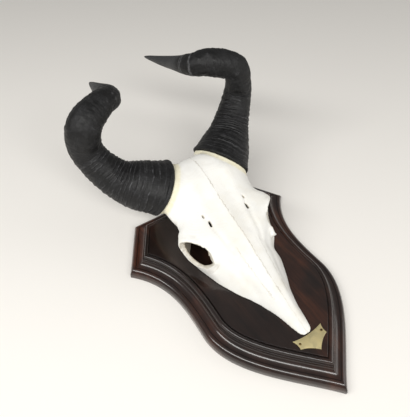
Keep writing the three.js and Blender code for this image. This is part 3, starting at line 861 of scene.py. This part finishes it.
# %% The bone's cross-sections
FOOT_Z = PANEL_Z + 0.3
SECTIONS = [
    (-230.5, -230.5, [(0, 34.4), (2.2, 34.3), (3.9, 34), (5, 33.6), (5.4, FOOT_Z)]),
    (-226, -226, [(0, 36), (4, 35.8), (7, 35.2), (8.8, 34.3), (9.4, FOOT_Z)]),
    (-216, -216, [(0, 39.2), (5, 38.6), (8.8, 37), (11.2, 35), (12.2, FOOT_Z)]),
    (-203, -203, [(0, 43.4), (6, 42.4), (10.6, 39.2), (13.8, 35.8), (15, FOOT_Z)]),
    (-189, -189, [(0, 48), (7.5, 46.2), (13, 41.4), (16.6, 36.6), (18, FOOT_Z)]),
    (-165, -165, [(0, 57.5), (10.5, 54.8), (18.5, 46), (23.8, 38), (26.5, FOOT_Z)]),
    (-150, -150, [(0, 63), (13, 59.4), (23, 49), (30, 39.2), (34, FOOT_Z)]),
    (-131, -131, [(0, 70), (16, 65.8), (29, 53), (38, 40), (43.5, FOOT_Z)]),
    (-107, -107, [(0, 81), (21, 75.6), (36.5, 62.5), (48, 44.5), (53.5, FOOT_Z)]),
    (-90, -90, [(0, 88.5), (26, 83.4), (45, 71), (57, 52), (59.5, FOOT_Z)]),
    (-75, -75, [(0, 94), (30, 89.2), (52, 80), (65, 57), (63, FOOT_Z)]),
    (-60, -60, [(0, 98.5), (35, 94.2), (65, 87), (74, 62), (66, FOOT_Z)]),
    (-45, -45, [(0, 103), (38, 97.8), (74, 90), (78, 64), (67.5, FOOT_Z)]),
    (-32, -32, [(0, 107.5), (40, 102.4), (76, 90), (77, 66), (67, FOOT_Z)]),
    (-16, -16, [(0, 113.6), (40, 108.8), (70, 89), (62, 62), (55, FOOT_Z)]),
    (0, 0, [(0, 121), (40, 118.6), (72, 91), (57, 62), (48, FOOT_Z)]),
    (14, 15, [(0, 127), (40, 128), (73, 98), (60, 64), (45, FOOT_Z)]),
    (25, 33, [(0, 131.6), (34, 131), (64, 104), (57, 66), (43, FOOT_Z)]),
    (33, 50, [(0, 132.5), (28, 130), (54, 106), (52, 68), (40, FOOT_Z)]),
    (40, 64, [(0, 128), (24, 124), (45, 102), (46, 66), (36, FOOT_Z)]),
    (45, 71, [(0, 114), (20, 110), (37, 90), (38, 58), (30, FOOT_Z)]),
    (48, 68, [(0, 92), (16, 88), (29, 72), (30, 48), (24, FOOT_Z)]),
    (50, 60, [(0, 62), (10, 60), (19, 52), (21, 41), (18, FOOT_Z)]),
]
SECTION_POINTS = 40
STATIONS_BETWEEN = 4
FOOT_SKIRT = 9.0


def section_loop(foot_y, crown_y, half):
    """One closed cross-section: a smooth line from the crown to the foot on each side, and a skirt below."""
    corners = np.array(half, dtype=float)
    t = np.linspace(0, len(corners) - 1, SECTION_POINTS)
    side = hermite(np.arange(len(corners)), corners, t)
    side[0] = corners[0]
    side = np.vstack([side, side[-1] - (0, FOOT_SKIRT)])
    share = (side[:, 1] - FOOT_Z) / (corners[0, 1] - FOOT_Z)
    y = foot_y + (crown_y - foot_y) * share
    right = np.column_stack([side[:, 0], y, side[:, 1]])
    left = right[1:][::-1] * (-1, 1, 1)
    return np.vstack([right, left])


def vault_mesh():
    loops = np.stack([section_loop(*section) for section in SECTIONS])
    count, size, _ = loops.shape
    at = np.linspace(0, count - 1, (count - 1) * STATIONS_BETWEEN + 1)
    loops = hermite(np.arange(count), loops.reshape(count, -1), at).reshape(len(at), size, 3)
    print("braincase and face:", len(at), "cross-sections of", size, "points")
    return loft_points(loops), loft_faces(len(at), size), cap_faces(len(at), size)


# %% [markdown]
# ## Fields of distance
# A level set holds distances only near its surface, which is all that a fillet needs. Every field is cut
# from the same block of space, so two fields can be combined number by number.

# %% Fields from meshes
VOXEL = 1.25
LOW = np.array([-104.0, -240.0, 20.0])
HIGH = np.array([104.0, 112.0, 146.0])
BAND = 14.0
SHAPE = tuple(np.ceil((HIGH - LOW) / VOXEL).astype(int))
FIRST = tuple(int(v) for v in np.round(LOW / VOXEL))


def field_of(points, quads, triangles):
    """The distance from a closed mesh at each point of the block, negative inside."""
    transform = openvdb.createLinearTransform(voxelSize=VOXEL)
    grid = openvdb.FloatGrid.createLevelSetFromPolygons(
        np.asarray(points, dtype=np.float32), triangles=np.asarray(triangles, dtype=np.uint32),
        quads=np.asarray(quads, dtype=np.uint32), transform=transform, halfWidth=BAND / VOXEL)
    block = np.empty(SHAPE, dtype=np.float32)
    grid.copyToArray(block, ijk=FIRST)
    return block


def smooth_join(a, b, reach):
    """The union of two fields, with a soft fillet where they meet."""
    near = np.clip(reach - np.abs(a - b), 0, None) / reach
    return np.minimum(a, b) - near * near * reach * 0.25


axes = [(np.arange(n) + f) * VOXEL for n, f in zip(SHAPE, FIRST)]
X, Y, Z = np.meshgrid(*axes, indexing="ij", sparse=True)
vault = field_of(*vault_mesh())
print("field:", SHAPE, "numbers:", vault.size)

# %% [markdown]
# ## Tubes and the mirror
# Bars, slits and grooves of the bone all follow a line. Such a field needs no mesh: it is the distance from
# a path of points, less a radius. Both sides of the skull are alike, so a field that is made on the left is
# also read in the middle plane. Soft lumps come from a small block of seeded numbers.

# %% Tubes, the mirror and lumps
def tube_field(path, radius, closed=False):
    """Distance from a path of points less its radius, which may change along it."""
    path = np.array(path, dtype=float)
    radii = np.broadcast_to(np.asarray(radius, dtype=float), len(path))
    if closed:
        path, radii = np.vstack([path, path[:1]]), np.r_[radii, radii[:1]]
    block = np.full(SHAPE, BAND, dtype=np.float32)
    margin = BAND + radii.max()
    low = np.maximum(((path.min(axis=0) - margin) / VOXEL).astype(int) - FIRST, 0)
    high = np.minimum(((path.max(axis=0) + margin) / VOXEL).astype(int) - FIRST + 2, SHAPE)
    window = tuple(slice(a, b) for a, b in zip(low, high))
    x, y, z = X[window[0]], Y[:, window[1]], Z[:, :, window[2]]
    best = None
    for a, b, start, end in zip(path, path[1:], radii, radii[1:]):
        run = b - a
        t = ((x - a[0]) * run[0] + (y - a[1]) * run[1] + (z - a[2]) * run[2]) / max(run @ run, 1e-9)
        t = np.clip(t, 0, 1)
        gap = (x - a[0] - t * run[0]) ** 2 + (y - a[1] - t * run[1]) ** 2 + (z - a[2] - t * run[2]) ** 2
        gap = np.sqrt(gap) - start - t * (end - start)
        best = gap if best is None else np.minimum(best, gap)
    block[window] = best
    return block


def mirror(field):
    """The field seen in the middle plane, which lies on a grid line."""
    middle = -FIRST[0]
    flipped = np.full_like(field, BAND)
    reach = min(middle, SHAPE[0] - 1 - middle)
    flipped[middle - reach:middle + reach + 1] = field[middle - reach:middle + reach + 1][::-1]
    return flipped


def both_sides(field):
    return np.minimum(field, mirror(field))


def sample(field, points):
    """The field's number nearest to each point."""
    at = np.clip(np.round(points / VOXEL - np.array(FIRST)).astype(int), 0, np.array(SHAPE) - 1)
    return field[at[:, 0], at[:, 1], at[:, 2]]


def blobs(cell, seed):
    """Soft random lumps of a given size, from a small block of seeded numbers stretched over the field."""
    small = [max(int(n * VOXEL / cell) + 3, 4) for n in SHAPE]
    values = np.random.default_rng(seed).uniform(-1, 1, small).astype(np.float32)
    for axis, n in enumerate(SHAPE):
        t = np.arange(n) * VOXEL / cell
        k = t.astype(int)
        f = (t - k).astype(np.float32)
        f = f * f * (3 - 2 * f)
        shape = [1, 1, 1]
        shape[axis] = n
        f = f.reshape(shape)
        values = np.take(values, k, axis=axis) * (1 - f) + np.take(values, k + 1, axis=axis) * f
    return values

# %% [markdown]
# ## The collars
# Each horn stands on a collar of bone. It is a short oval bar in the slanted plane of the horn's rim, and
# its outer end is rounded off just inside the horn's mouth. It joins the vault with a wide fillet.

# %% Build the collars
COLLAR_STEPS = [(-36, 0.7), (-18, 0.86), (-9, 0.925), (-7.6, 0.95), (-6.4, 0.985), (-1.0, 0.99),
                (-0.3, 0.96)]
COLLAR_SIDES = 72
COLLAR_FILLET = 7.0


def collar_mesh(frames, side):
    turns = np.linspace(0, 2 * np.pi, COLLAR_SIDES, endpoint=False)
    loops = []
    for depth, share in COLLAR_STEPS:
        long = np.outer(np.cos(turns) * RIM_LONG * share, frames["long"][0])
        short = np.outer(np.sin(turns) * RIM_SHORT * share, frames["short"][0])
        loops.append(RIM_CENTRE + RIM_NORMAL * depth + long + short)
    count = len(loops)
    return loft_points(loops) * (side, 1, 1), loft_faces(count, COLLAR_SIDES), cap_faces(count, COLLAR_SIDES)


body = vault
for side, frames in ((1, left_frames), (-1, right_frames)):
    body = smooth_join(body, field_of(*collar_mesh(frames, side)), COLLAR_FILLET)
print("numbers inside the bone with its collars:", int((body < 0).sum()))

# %% [markdown]
# ## The eye sockets
# The eye socket is a thick ring of bone round an opening. The ring is a tube along a loop of points, thick
# behind and below and thin in front. The opening is an oval cut through the wall, wide at its rim and
# narrower below, with a torn front edge.

# %% The eye socket's ring and opening
SOCKET_CENTRE = np.array([-66.5, -62.0, 69.9])
SOCKET_OUT = np.array([-0.821, -0.537, 0.194])
SOCKET_LONG = np.array([0.484, -0.834, -0.265])
SOCKET_UP = np.array([0.304, -0.123, 0.945])
SOCKET_RIM = [(-27.7, 4.5, 2.9), (-19.9, 13.4, 3.6), (-9.7, 17.1, 1.8), (0.3, 14.8, -3.4), (8.9, 13.4, -5.0),
              (16.9, 11.2, -2.6), (22.5, 8.2, 0.5), (26.0, 4.2, 2.0), (29.5, 1.0, 3.0), (25.4, -3.5, 3.8),
              (20.9, -11.7, 3.7), (9.8, -19.0, 0.4), (-4.5, -20.5, -2.9), (-17.4, -15.5, -2.6),
              (-26.5, -6.3, -0.1)]
THROAT_DEPTH = 4.0
SOCKET_THROAT = [(-20.7, 5.1), (-16.8, 7.3), (-11.3, 10.5), (-5.2, 12.0), (-0.4, 10.0), (2.7, 12.7),
                 (6.6, 9.4), (10.5, 10.3), (12.9, 5.8), (17.0, 5.5), (18.2, 0.4), (25.4, -0.2),
                 (23.5, -5.2), (19.1, -9.1), (14.1, -13.5), (8.0, -15.3), (1.0, -14.8), (-5.8, -12.3),
                 (-12.0, -7.7), (-16.3, -3.0), (-19.3, 1.4)]
RIM_TUBE_THICK, RIM_TUBE_THIN = 4.4, 2.0
SOCKET_FLARE = 6.0
FLARE_HEIGHT = 15.0
SOCKET_DEEP = 36.0
RING_POINTS = 36
RING_FILLET = 5.0


def by_angle(loop, count=96):
    """A loop's radius, and its third number if it has one, at evenly spaced angles round the middle."""
    loop = np.array(loop, dtype=float)
    angle = np.arctan2(loop[:, 1], loop[:, 0])
    order = np.argsort(angle)
    at = np.linspace(-np.pi, np.pi, count, endpoint=False)
    radius = np.interp(at, angle[order], np.hypot(loop[:, 0], loop[:, 1])[order], period=2 * np.pi)
    third = np.interp(at, angle[order], loop[order, 2], period=2 * np.pi) if loop.shape[1] > 2 else None
    return at, radius, third


def socket_points(angle, radius, out):
    """Points round the left socket, at a given distance out along its axis."""
    flat = np.outer(np.cos(angle) * radius, SOCKET_LONG) + np.outer(np.sin(angle) * radius, SOCKET_UP)
    return SOCKET_CENTRE + flat + np.outer(out, SOCKET_OUT)


def socket_hole():
    angle, rim, height = by_angle(SOCKET_RIM)
    _, throat, _ = by_angle(SOCKET_THROAT)
    flat = np.ones_like(angle)
    loops = [
        socket_points(angle, rim + SOCKET_FLARE, height + FLARE_HEIGHT),
        socket_points(angle, rim, height),
        socket_points(angle, throat, -THROAT_DEPTH * flat),
        socket_points(angle, throat, -SOCKET_DEEP * flat),
    ]
    count, size = len(loops), len(angle)
    hole = field_of(loft_points(loops), loft_faces(count, size), cap_faces(count, size))
    return hole if sample(hole, SOCKET_CENTRE[None])[0] < 0 else -hole


def socket_ring():
    angle, rim, height = by_angle(SOCKET_RIM, RING_POINTS)
    thick = smoothstep(-np.cos(angle) - 0.5 * np.sin(angle), -0.7, 0.6)
    radii = RIM_TUBE_THIN + (RIM_TUBE_THICK - RIM_TUBE_THIN) * thick
    return tube_field(socket_points(angle, rim - 0.4, height - radii + 0.3), radii, closed=True)


ring = both_sides(socket_ring())
body = smooth_join(body, ring, RING_FILLET)
print("numbers inside the bone with its socket rings:", int((body < 0).sum()))

# %% [markdown]
# ## The bone's skin
# A low ridge runs down the middle of the forehead, where its two halves met. Soft lumps of three sizes keep
# the bone from looking cast, the smallest only near the sockets' ragged rims. Shallow grooves mark where
# vessels and muscles lay: each is a small number added along a line, so it fades out sideways.

# %% Add the ridge, the lumps and the grooves
RIDGE_HEIGHT = 1.1
RIDGE_WIDTH = 7.0
RIDGE_ROUNDING = 0.6
LUMPS = [(22, 3, 0.6), (7, 4, 0.18)]
RAGGED_LUMP, RAGGED_SEED, RAGGED_HEIGHT, RAGGED_REACH = 3.3, 9, 0.5, 4.0
GROOVES = [
    ([(-32.9, -46, 96), (-31.5, -60, 92.5), (-29, -78, 88), (-26, -96, 81)], 4.2, 1.5),
    ([(-36.1, -31, 103), (-34.5, -39, 99.5)], 2.4, 0.9),
    ([(-19, 8, 122), (-19, -20, 109), (-17, -45, 101), (-15, -75, 92)], 9.0, 1.2),
    ([(-17.5, -92, 86), (-17, -120, 73), (-15.5, -150, 60), (-10, -190, 46)], 1.7, 0.6),
    ([(-43, -92, 76), (-36, -108, 68), (-31, -128, 56), (-26, -150, 48)], 6.5, 1.5),
    ([(-54, -92, 60), (-55.5, -94, 55)], 4.2, 2.0),
    ([(-62, 2, 93), (-60, 22, 97), (-52, 38, 101)], 6.0, 1.0),
    ([(-59.1, -65.4, 86.7), (-54.9, -71.4, 82.9), (-53.2, -78.9, 79.3), (-53.4, -84.8, 74.9)], 2.0, 1.3),
    ([(-72, -8, 88), (-72, -9, 80), (-70, -10, 72)], 3.6, 2.0),
    ([(-75, -21, 88), (-75, -22, 80), (-73, -23, 72)], 4.0, 2.4),
]

ridge_fade = smoothstep(Y, -185, -120) * smoothstep(Y, 66, 30) * (Z > 45)
body = body - RIDGE_HEIGHT * np.exp(-np.sqrt(X * X + RIDGE_ROUNDING) / RIDGE_WIDTH) * ridge_fade
for lump_size, seed, height in LUMPS:
    body = body + blobs(lump_size, seed) * height
near_ring = np.exp(-(ring / RAGGED_REACH) ** 2)
body = body + blobs(RAGGED_LUMP, RAGGED_SEED) * RAGGED_HEIGHT * near_ring
for path, radius, depth in GROOVES:
    trough = both_sides(tube_field(path, 0.0))
    body = body + depth * np.exp(-(trough / radius) ** 2)
print("grooves on each side:", len(GROOVES))

# %% [markdown]
# ## Hollows and holes
# The skull is a shell about five millimetres thick. The hollow is the vault itself, moved inwards, and the
# sockets open into it. Small slits in the forehead let vessels through.

# %% Cut the hollow, the sockets and the slits
BONE_WALL = 5.0
SOCKET_FILLET = 1.6
SLIT_FILLET = 1.2
OPENING_LUMP, OPENING_SEED, OPENING_HEIGHT = 3.4, 7, 0.7
FORAMINA = [
    ([(-32.4, -41.0, 94.5), (-32.0, -40.5, 112)], 1.4),
    ([(-32.7, -43.8, 92.3), (-32.7, -44.0, 112)], 1.8),
    ([(-32.9, -47.0, 92.0), (-33.2, -48.2, 112)], 1.7),
    ([(-36.1, -29.0, 101.0), (-36.0, -28.5, 116)], 1.2),
    ([(-36.2, -31.5, 100.0), (-36.3, -32.2, 116)], 1.3),
]

body = np.maximum(body, -(vault + BONE_WALL))
socket_opening = both_sides(socket_hole()) + blobs(OPENING_LUMP, OPENING_SEED) * OPENING_HEIGHT
body = -smooth_join(-body, socket_opening, SOCKET_FILLET)
for path, radius in FORAMINA:
    slit = both_sides(tube_field(path, radius))
    body = -smooth_join(-body, slit, SLIT_FILLET)
print("slits on each side:", len(FORAMINA))

# %% [markdown]
# ## The worn right cheek
# The right cheek is a little narrower at its socket, and short spurs of broken bone stand out below it. The
# narrowing reads the field from further out, so nothing has to be built anew. Last, the skull is cut flat on
# its underside, as it was for its mount.

# %% Narrow the cheek, add the spurs and cut the foot
RIGHT_NOTCHES = [(-64, 12, 0.07, 44, 58), (-99, 11, 0.12, 0, 10)]
SPUR_FILLET = 3.6
SPURS = [
    ([(45, -83, 68), (50.3, -83.3, 70.5), (50.8, -88, 65.5)], [4.5, 3.6, 3.4]),
    ([(49, -89, 64), (53.6, -90.6, 62.6), (55.8, -91, 61.8)], [3.4, 2.0, 0.9]),
]


def narrow_right(field):
    squeeze = sum(share * np.exp(-((Y - middle) / width) ** 2) * smoothstep(Z, low, high)
                  for middle, width, share, low, high in RIGHT_NOTCHES)
    at = (X * (1 + squeeze * (X > 0)) - axes[0][0]) / VOXEL
    at = np.clip(at, 0, SHAPE[0] - 1.001)
    k = at.astype(np.int32)
    share = (at - k).astype(np.float32)
    k = np.broadcast_to(k, SHAPE)
    return np.take_along_axis(field, k, 0) * (1 - share) + np.take_along_axis(field, k + 1, 0) * share


body = narrow_right(body)
for path, radii in SPURS:
    body = smooth_join(body, tube_field(path, radii), SPUR_FILLET)
bone_field = np.maximum(body, FOOT_Z - Z)
vault = narrow_right(vault)
print("numbers inside the finished bone:", int((bone_field < 0).sum()))

# %% [markdown]
# ## From field to mesh
# The surface where the field is zero becomes the mesh. Loose crumbs are dropped, and the inner wall, which
# nobody sees, gets fewer and larger faces.

# %% Mesh from the field
def mesh_from_field(name, field):
    block = openvdb.FloatGrid(BAND)
    block.transform = openvdb.createLinearTransform(voxelSize=VOXEL)
    block.copyFromArray(np.ascontiguousarray(field, dtype=np.float32), ijk=FIRST)
    points, triangles, quads = block.convertToPolygons(isovalue=0.0, adaptivity=0.0)
    faces = [tuple(int(i) for i in f) for f in triangles] + [tuple(int(i) for i in f) for f in quads]
    return new_piece(name, points * MM, faces)


def keep_largest(piece):
    """Deletes every loose part of a mesh but the one with the most points."""
    build = bmesh.new()
    build.from_mesh(piece.data)
    left, groups = set(build.verts), []
    while left:
        group, todo = set(), [left.pop()]
        while todo:
            vertex = todo.pop()
            group.add(vertex)
            for edge in vertex.link_edges:
                other = edge.other_vert(vertex)
                if other in left:
                    left.discard(other)
                    todo.append(other)
        groups.append(group)
    groups.sort(key=len)
    for group in groups[:-1]:
        bmesh.ops.delete(build, geom=list(group), context="VERTS")
    build.to_mesh(piece.data)
    build.free()


def mesh_points(piece):
    points = np.empty(len(piece.data.vertices) * 3, dtype=np.float32)
    piece.data.vertices.foreach_get("co", points)
    return points.reshape(-1, 3) / MM


INSIDE_RATIO = 0.3
HIDDEN_DEPTH = 3.2
RIM_MARGIN = 2.0


def thin_inside(piece):
    """Joins faces on the hidden inner wall, where a coarser mesh looks the same."""
    points = mesh_points(piece)
    deep, off_rim = sample(vault, points) < -HIDDEN_DEPTH, sample(ring, points) > RIM_MARGIN
    hidden = np.flatnonzero(deep & off_rim)
    group = piece.vertex_groups.new(name="inner_wall")
    group.add([int(i) for i in hidden], 1.0, "REPLACE")
    modifier = piece.modifiers.new("thin", "DECIMATE")
    modifier.vertex_group = group.name
    modifier.ratio = 1 - (1 - INSIDE_RATIO) * len(hidden) / len(points)
    modifier.use_collapse_triangulate = True
    plain_mesh(piece)
    piece.vertex_groups.clear()
    piece.data.polygons.foreach_set("use_smooth", [True] * len(piece.data.polygons))


skull = mesh_from_field("skull_bone", bone_field)
keep_largest(skull)
thin_inside(skull)
print("points of the skull:", len(skull.data.vertices))

# %% [markdown]
# The finish needs to know where the collars, the inner wall, the walls of the sockets and the hollows are.
# The fields tell that for each point, and the numbers are stored on the mesh.

# %% Mark the collar, the inside and the hollows
COLLAR_REACH = 56.0
SOCKET_REACH = 36.0
OPEN_AIR = 7.0


def mark_skull(piece):
    mesh = piece.data
    points = mesh_points(piece)
    normals = np.empty(len(mesh.vertices) * 3, dtype=np.float32)
    mesh.vertices.foreach_get("normal", normals)
    normals = normals.reshape(-1, 3)
    fold = np.where(points[:, :1] > 0, (-1, 1, 1), (1, 1, 1))
    folded = points * fold
    depth = (folded - RIM_CENTRE) @ RIM_NORMAL
    spread = np.linalg.norm(folded - RIM_CENTRE - np.outer(depth, RIM_NORMAL), axis=1)
    collar = smoothstep(depth, -9.2, -5.6) * (spread < COLLAR_REACH)
    inside = smoothstep(sample(vault, points), -2.2, -4.2)
    from_socket = folded - SOCKET_CENTRE
    from_socket -= np.outer(from_socket @ SOCKET_OUT, SOCKET_OUT)
    reach = np.linalg.norm(from_socket, axis=1) + 0.01
    facing = -np.einsum("ij,ij->i", from_socket / reach[:, None], normals * fold)
    near_socket = np.linalg.norm(folded - SOCKET_CENTRE, axis=1) < SOCKET_REACH
    open_air = sample(bone_field, points + normals * OPEN_AIR)
    point_attribute(piece, "collar", collar)
    point_attribute(piece, "inside", inside)
    point_attribute(piece, "socket_wall", smoothstep(facing, -0.25, 0.4) * near_socket)
    point_attribute(piece, "recess", np.clip(1 - open_air / OPEN_AIR, 0, 1))


mark_skull(skull)

# %% [markdown]
# ## The bone's finish
# Boiled and bleached bone is nearly white, dry and a little chalky. Near the horns it keeps a yellow, waxy
# tone. The hollows are darkened to grey-beige, partly as dust and partly as painted shade, and the walls of
# the eye sockets get a grey-beige painted shade. Fine wandering lines are the seams between the skull's
# plates: one runs down the middle and one beside each nasal bone.
# They are drawn by distance from a line, because they are thinner than the mesh's own faces.

# %% Mix the bone
def seam(net, x, y, centre, slope, width, wander):
    """A thin line where X is near centre + slope * Y, as 1 on the line and 0 away from it."""
    line = net.plus(net.times(y, slope), centre)
    wobble = net.times(net.minus(wander, 0.5), 0.006)
    off = net.math("ABSOLUTE", net.plus(net.minus(x, line), wobble))
    return net.step(off, width, width * 0.3)


def all_seams(net):
    x, y, z = net.parts()
    wander = net.noise(net.place(), 210, 3, 0.6)
    middle = net.times(seam(net, x, y, 0.0, 0.0, 0.0012, wander), net.step(y, -0.2, -0.15, 0.35, 1.0))
    beside = seam(net, net.math("ABSOLUTE", x), y, 0.0283, 0.09, 0.0012, wander)
    beside = net.times(net.times(beside, net.step(y, -0.085, -0.1)), net.step(z, 0.045, 0.055))
    seams = net.larger(middle, net.times(beside, 0.7))
    return net.times(seams, net.step(net.noise(net.place(), 70, 3, 0.55), 0.32, 0.62, 0.2, 1.0))


def bone_finish():
    net = Finish("bleached_bone")
    seams = all_seams(net)
    stain = net.noise(net.place(), 26, 5, 0.55)
    fleck = net.noise(net.place(), 150, 4, 0.6)
    white = net.ramp(stain, [(0.3, (0.86, 0.835, 0.765)), (0.5, (0.9, 0.89, 0.85)),
                             (0.7, (0.925, 0.92, 0.89))])
    colour = net.mix(net.step(fleck, 0.6, 0.78, 0.0, 0.35), white, (0.8, 0.76, 0.67))
    wax = net.mix(net.step(fleck, 0.35, 0.65), (0.9, 0.86, 0.66), (0.85, 0.79, 0.56))
    colour = net.mix(net.times(net.read("collar"), 0.85), colour, wax)
    # The hollows are darkened to grey-beige: partly dust, partly painted shade at their bottoms.
    dust_and_shade = net.times(net.read("recess"), net.step(stain, 0.3, 0.65, 0.3, 0.75))
    colour = net.mix(dust_and_shade, colour, (0.55, 0.5, 0.4))
    # Painted shade: the walls of the eye sockets, which face away into shadow, are darkened to grey-beige.
    painted_socket_shade = net.times(net.read("socket_wall"), net.step(fleck, 0.3, 0.7, 0.6, 0.95))
    colour = net.mix(painted_socket_shade, colour, (0.53, 0.49, 0.41))
    colour = net.mix(net.times(net.read("inside"), 0.8), colour, (0.42, 0.36, 0.27))
    net.set("Base Color", net.mix(net.times(seams, 0.58), colour, (0.46, 0.42, 0.35)))
    net.set("Roughness", net.step(fleck, 0.3, 0.7, 0.5, 0.68))
    net.set("Specular IOR Level", 0.35)
    pits = net.step(net.noise(net.place(), 620, 3, 0.6), 0.36, 0.5)
    stain_bump = net.bump(stain, 0.25, 0.0012)
    pit_bump = net.bump(pits, 0.16, 0.0003, stain_bump)
    net.set("Normal", net.bump(net.minus(1.0, seams), 0.6, 0.0006, pit_bump))
    return net.material


finish_piece(skull, bone_finish(), "skull")

# %% [markdown]
# ## The name plate and its pins
# A small plate of thin brass, cut with five points and hollow sides, is pinned under the nose. It is left
# blank. The pins have small domed heads that have gone dark with age.

# %% Cut the plate
PLATE_Z = PANEL_Z + 0.3
PLATE_THICK = 0.9
PLATE_CORNERS = [(-24.7, -228.9), (-22.9, -243.2), (0, -257.7), (22.9, -243.2), (24.7, -228.9)]
PLATE_BENDS = [(-20.9, -236.4), (-10.2, -246.6), (10.2, -246.6), (20.9, -236.4), (0, -234.9)]
PLATE_STEPS = [(0.2, 0.0), (0.0, 0.15), (0.0, 0.6), (0.12, 0.82), (0.4, PLATE_THICK)]
PIN_X, PIN_Y = 18.8, -237.1
PIN_SIDES = 32
PIN_GAP = 0.3
PIN_STEPS = [(0.75, -0.2), (1.55, 0.0), (1.7, 0.12), (1.66, 0.3), (1.45, 0.55), (1.0, 0.8), (0.5, 0.92)]
PIN_TOP = 0.95


def plate_outline(steps=14):
    out = []
    for a, bend, b in zip(PLATE_CORNERS, PLATE_BENDS, PLATE_CORNERS[1:] + PLATE_CORNERS[:1]):
        t = np.linspace(0, 1, steps, endpoint=False)[:, None]
        out.append((1 - t) ** 2 * np.array(a) + 2 * t * (1 - t) * np.array(bend) + t * t * np.array(b))
    return np.vstack(out)


def inset(outline, distance):
    """A closed outline moved inward along its mitres."""
    before = outline - np.roll(outline, 1, axis=0)
    after = np.roll(outline, -1, axis=0) - outline
    before /= np.linalg.norm(before, axis=1)[:, None]
    after /= np.linalg.norm(after, axis=1)[:, None]
    in_a = np.stack([-before[:, 1], before[:, 0]], axis=1)
    in_b = np.stack([-after[:, 1], after[:, 0]], axis=1)
    mitre = (in_a + in_b) / (1 + (in_a * in_b).sum(axis=1))[:, None]
    return outline + mitre * distance


def build_plate():
    outline = plate_outline()
    size, count = len(outline), len(PLATE_STEPS)
    loops = [np.column_stack([inset(outline, d), np.full(size, PLATE_Z + z)]) for d, z in PLATE_STEPS]
    faces = loft_faces(count, size) + flat_caps(count, size)
    return new_piece("brass_plate", np.vstack(loops) * MM, faces, 30)


def build_pin(name, side):
    turns = np.linspace(0, 2 * np.pi, PIN_SIDES, endpoint=False)
    x, z = side * PIN_X, PLATE_Z + PLATE_THICK + PIN_GAP
    circle = np.column_stack([np.cos(turns), np.sin(turns), np.zeros(PIN_SIDES)])
    loops = [circle * r + (x, PIN_Y, z + rise) for r, rise in PIN_STEPS]
    points = np.vstack([*loops, (x, PIN_Y, z + PIN_STEPS[0][1]), (x, PIN_Y, z + PIN_TOP)])
    faces = loft_faces(len(loops), PIN_SIDES) + cap_faces(len(loops), PIN_SIDES)
    return new_piece(name, points * MM, faces)


plate = build_plate()
pins = [build_pin("pin_left", -1), build_pin("pin_right", 1)]
print("points of the plate and of a pin:", len(plate.data.vertices), len(pins[0].data.vertices))

# %% [markdown]
# The plate is pale, brushed along its length and a little cloudy. The pins have the same finish in a darker
# tone, so one function mixes both.

# %% Mix the brass
def brass_finish(name, bright, dark, rough, tarnish):
    net = Finish(name)
    brushed = net.noise(net.place((0.06, 1.0, 1.0)), 1500, 3, 0.6)
    cloud = net.noise(net.place(), 120, 4, 0.6)
    net.set("Base Color", net.mix(net.times(net.step(cloud, 0.35, 0.7), tarnish), bright, dark))
    net.set("Metallic", 1.0)
    net.set("Roughness", net.step(cloud, 0.3, 0.7, rough, rough + 0.16))
    net.set("Normal", net.bump(brushed, 0.08, 0.0002))
    return net.material


plate_brass = brass_finish("pale_brass", (0.93, 0.81, 0.46), (0.74, 0.62, 0.32), 0.42, 0.5)
pin_brass = brass_finish("dark_brass", (0.2, 0.13, 0.05), (0.05, 0.032, 0.016), 0.4, 0.8)
finish_piece(plate, plate_brass, "name_plate")
for pin, node in zip(pins, ("plate_pin_left", "plate_pin_right")):
    finish_piece(pin, pin_brass, node)
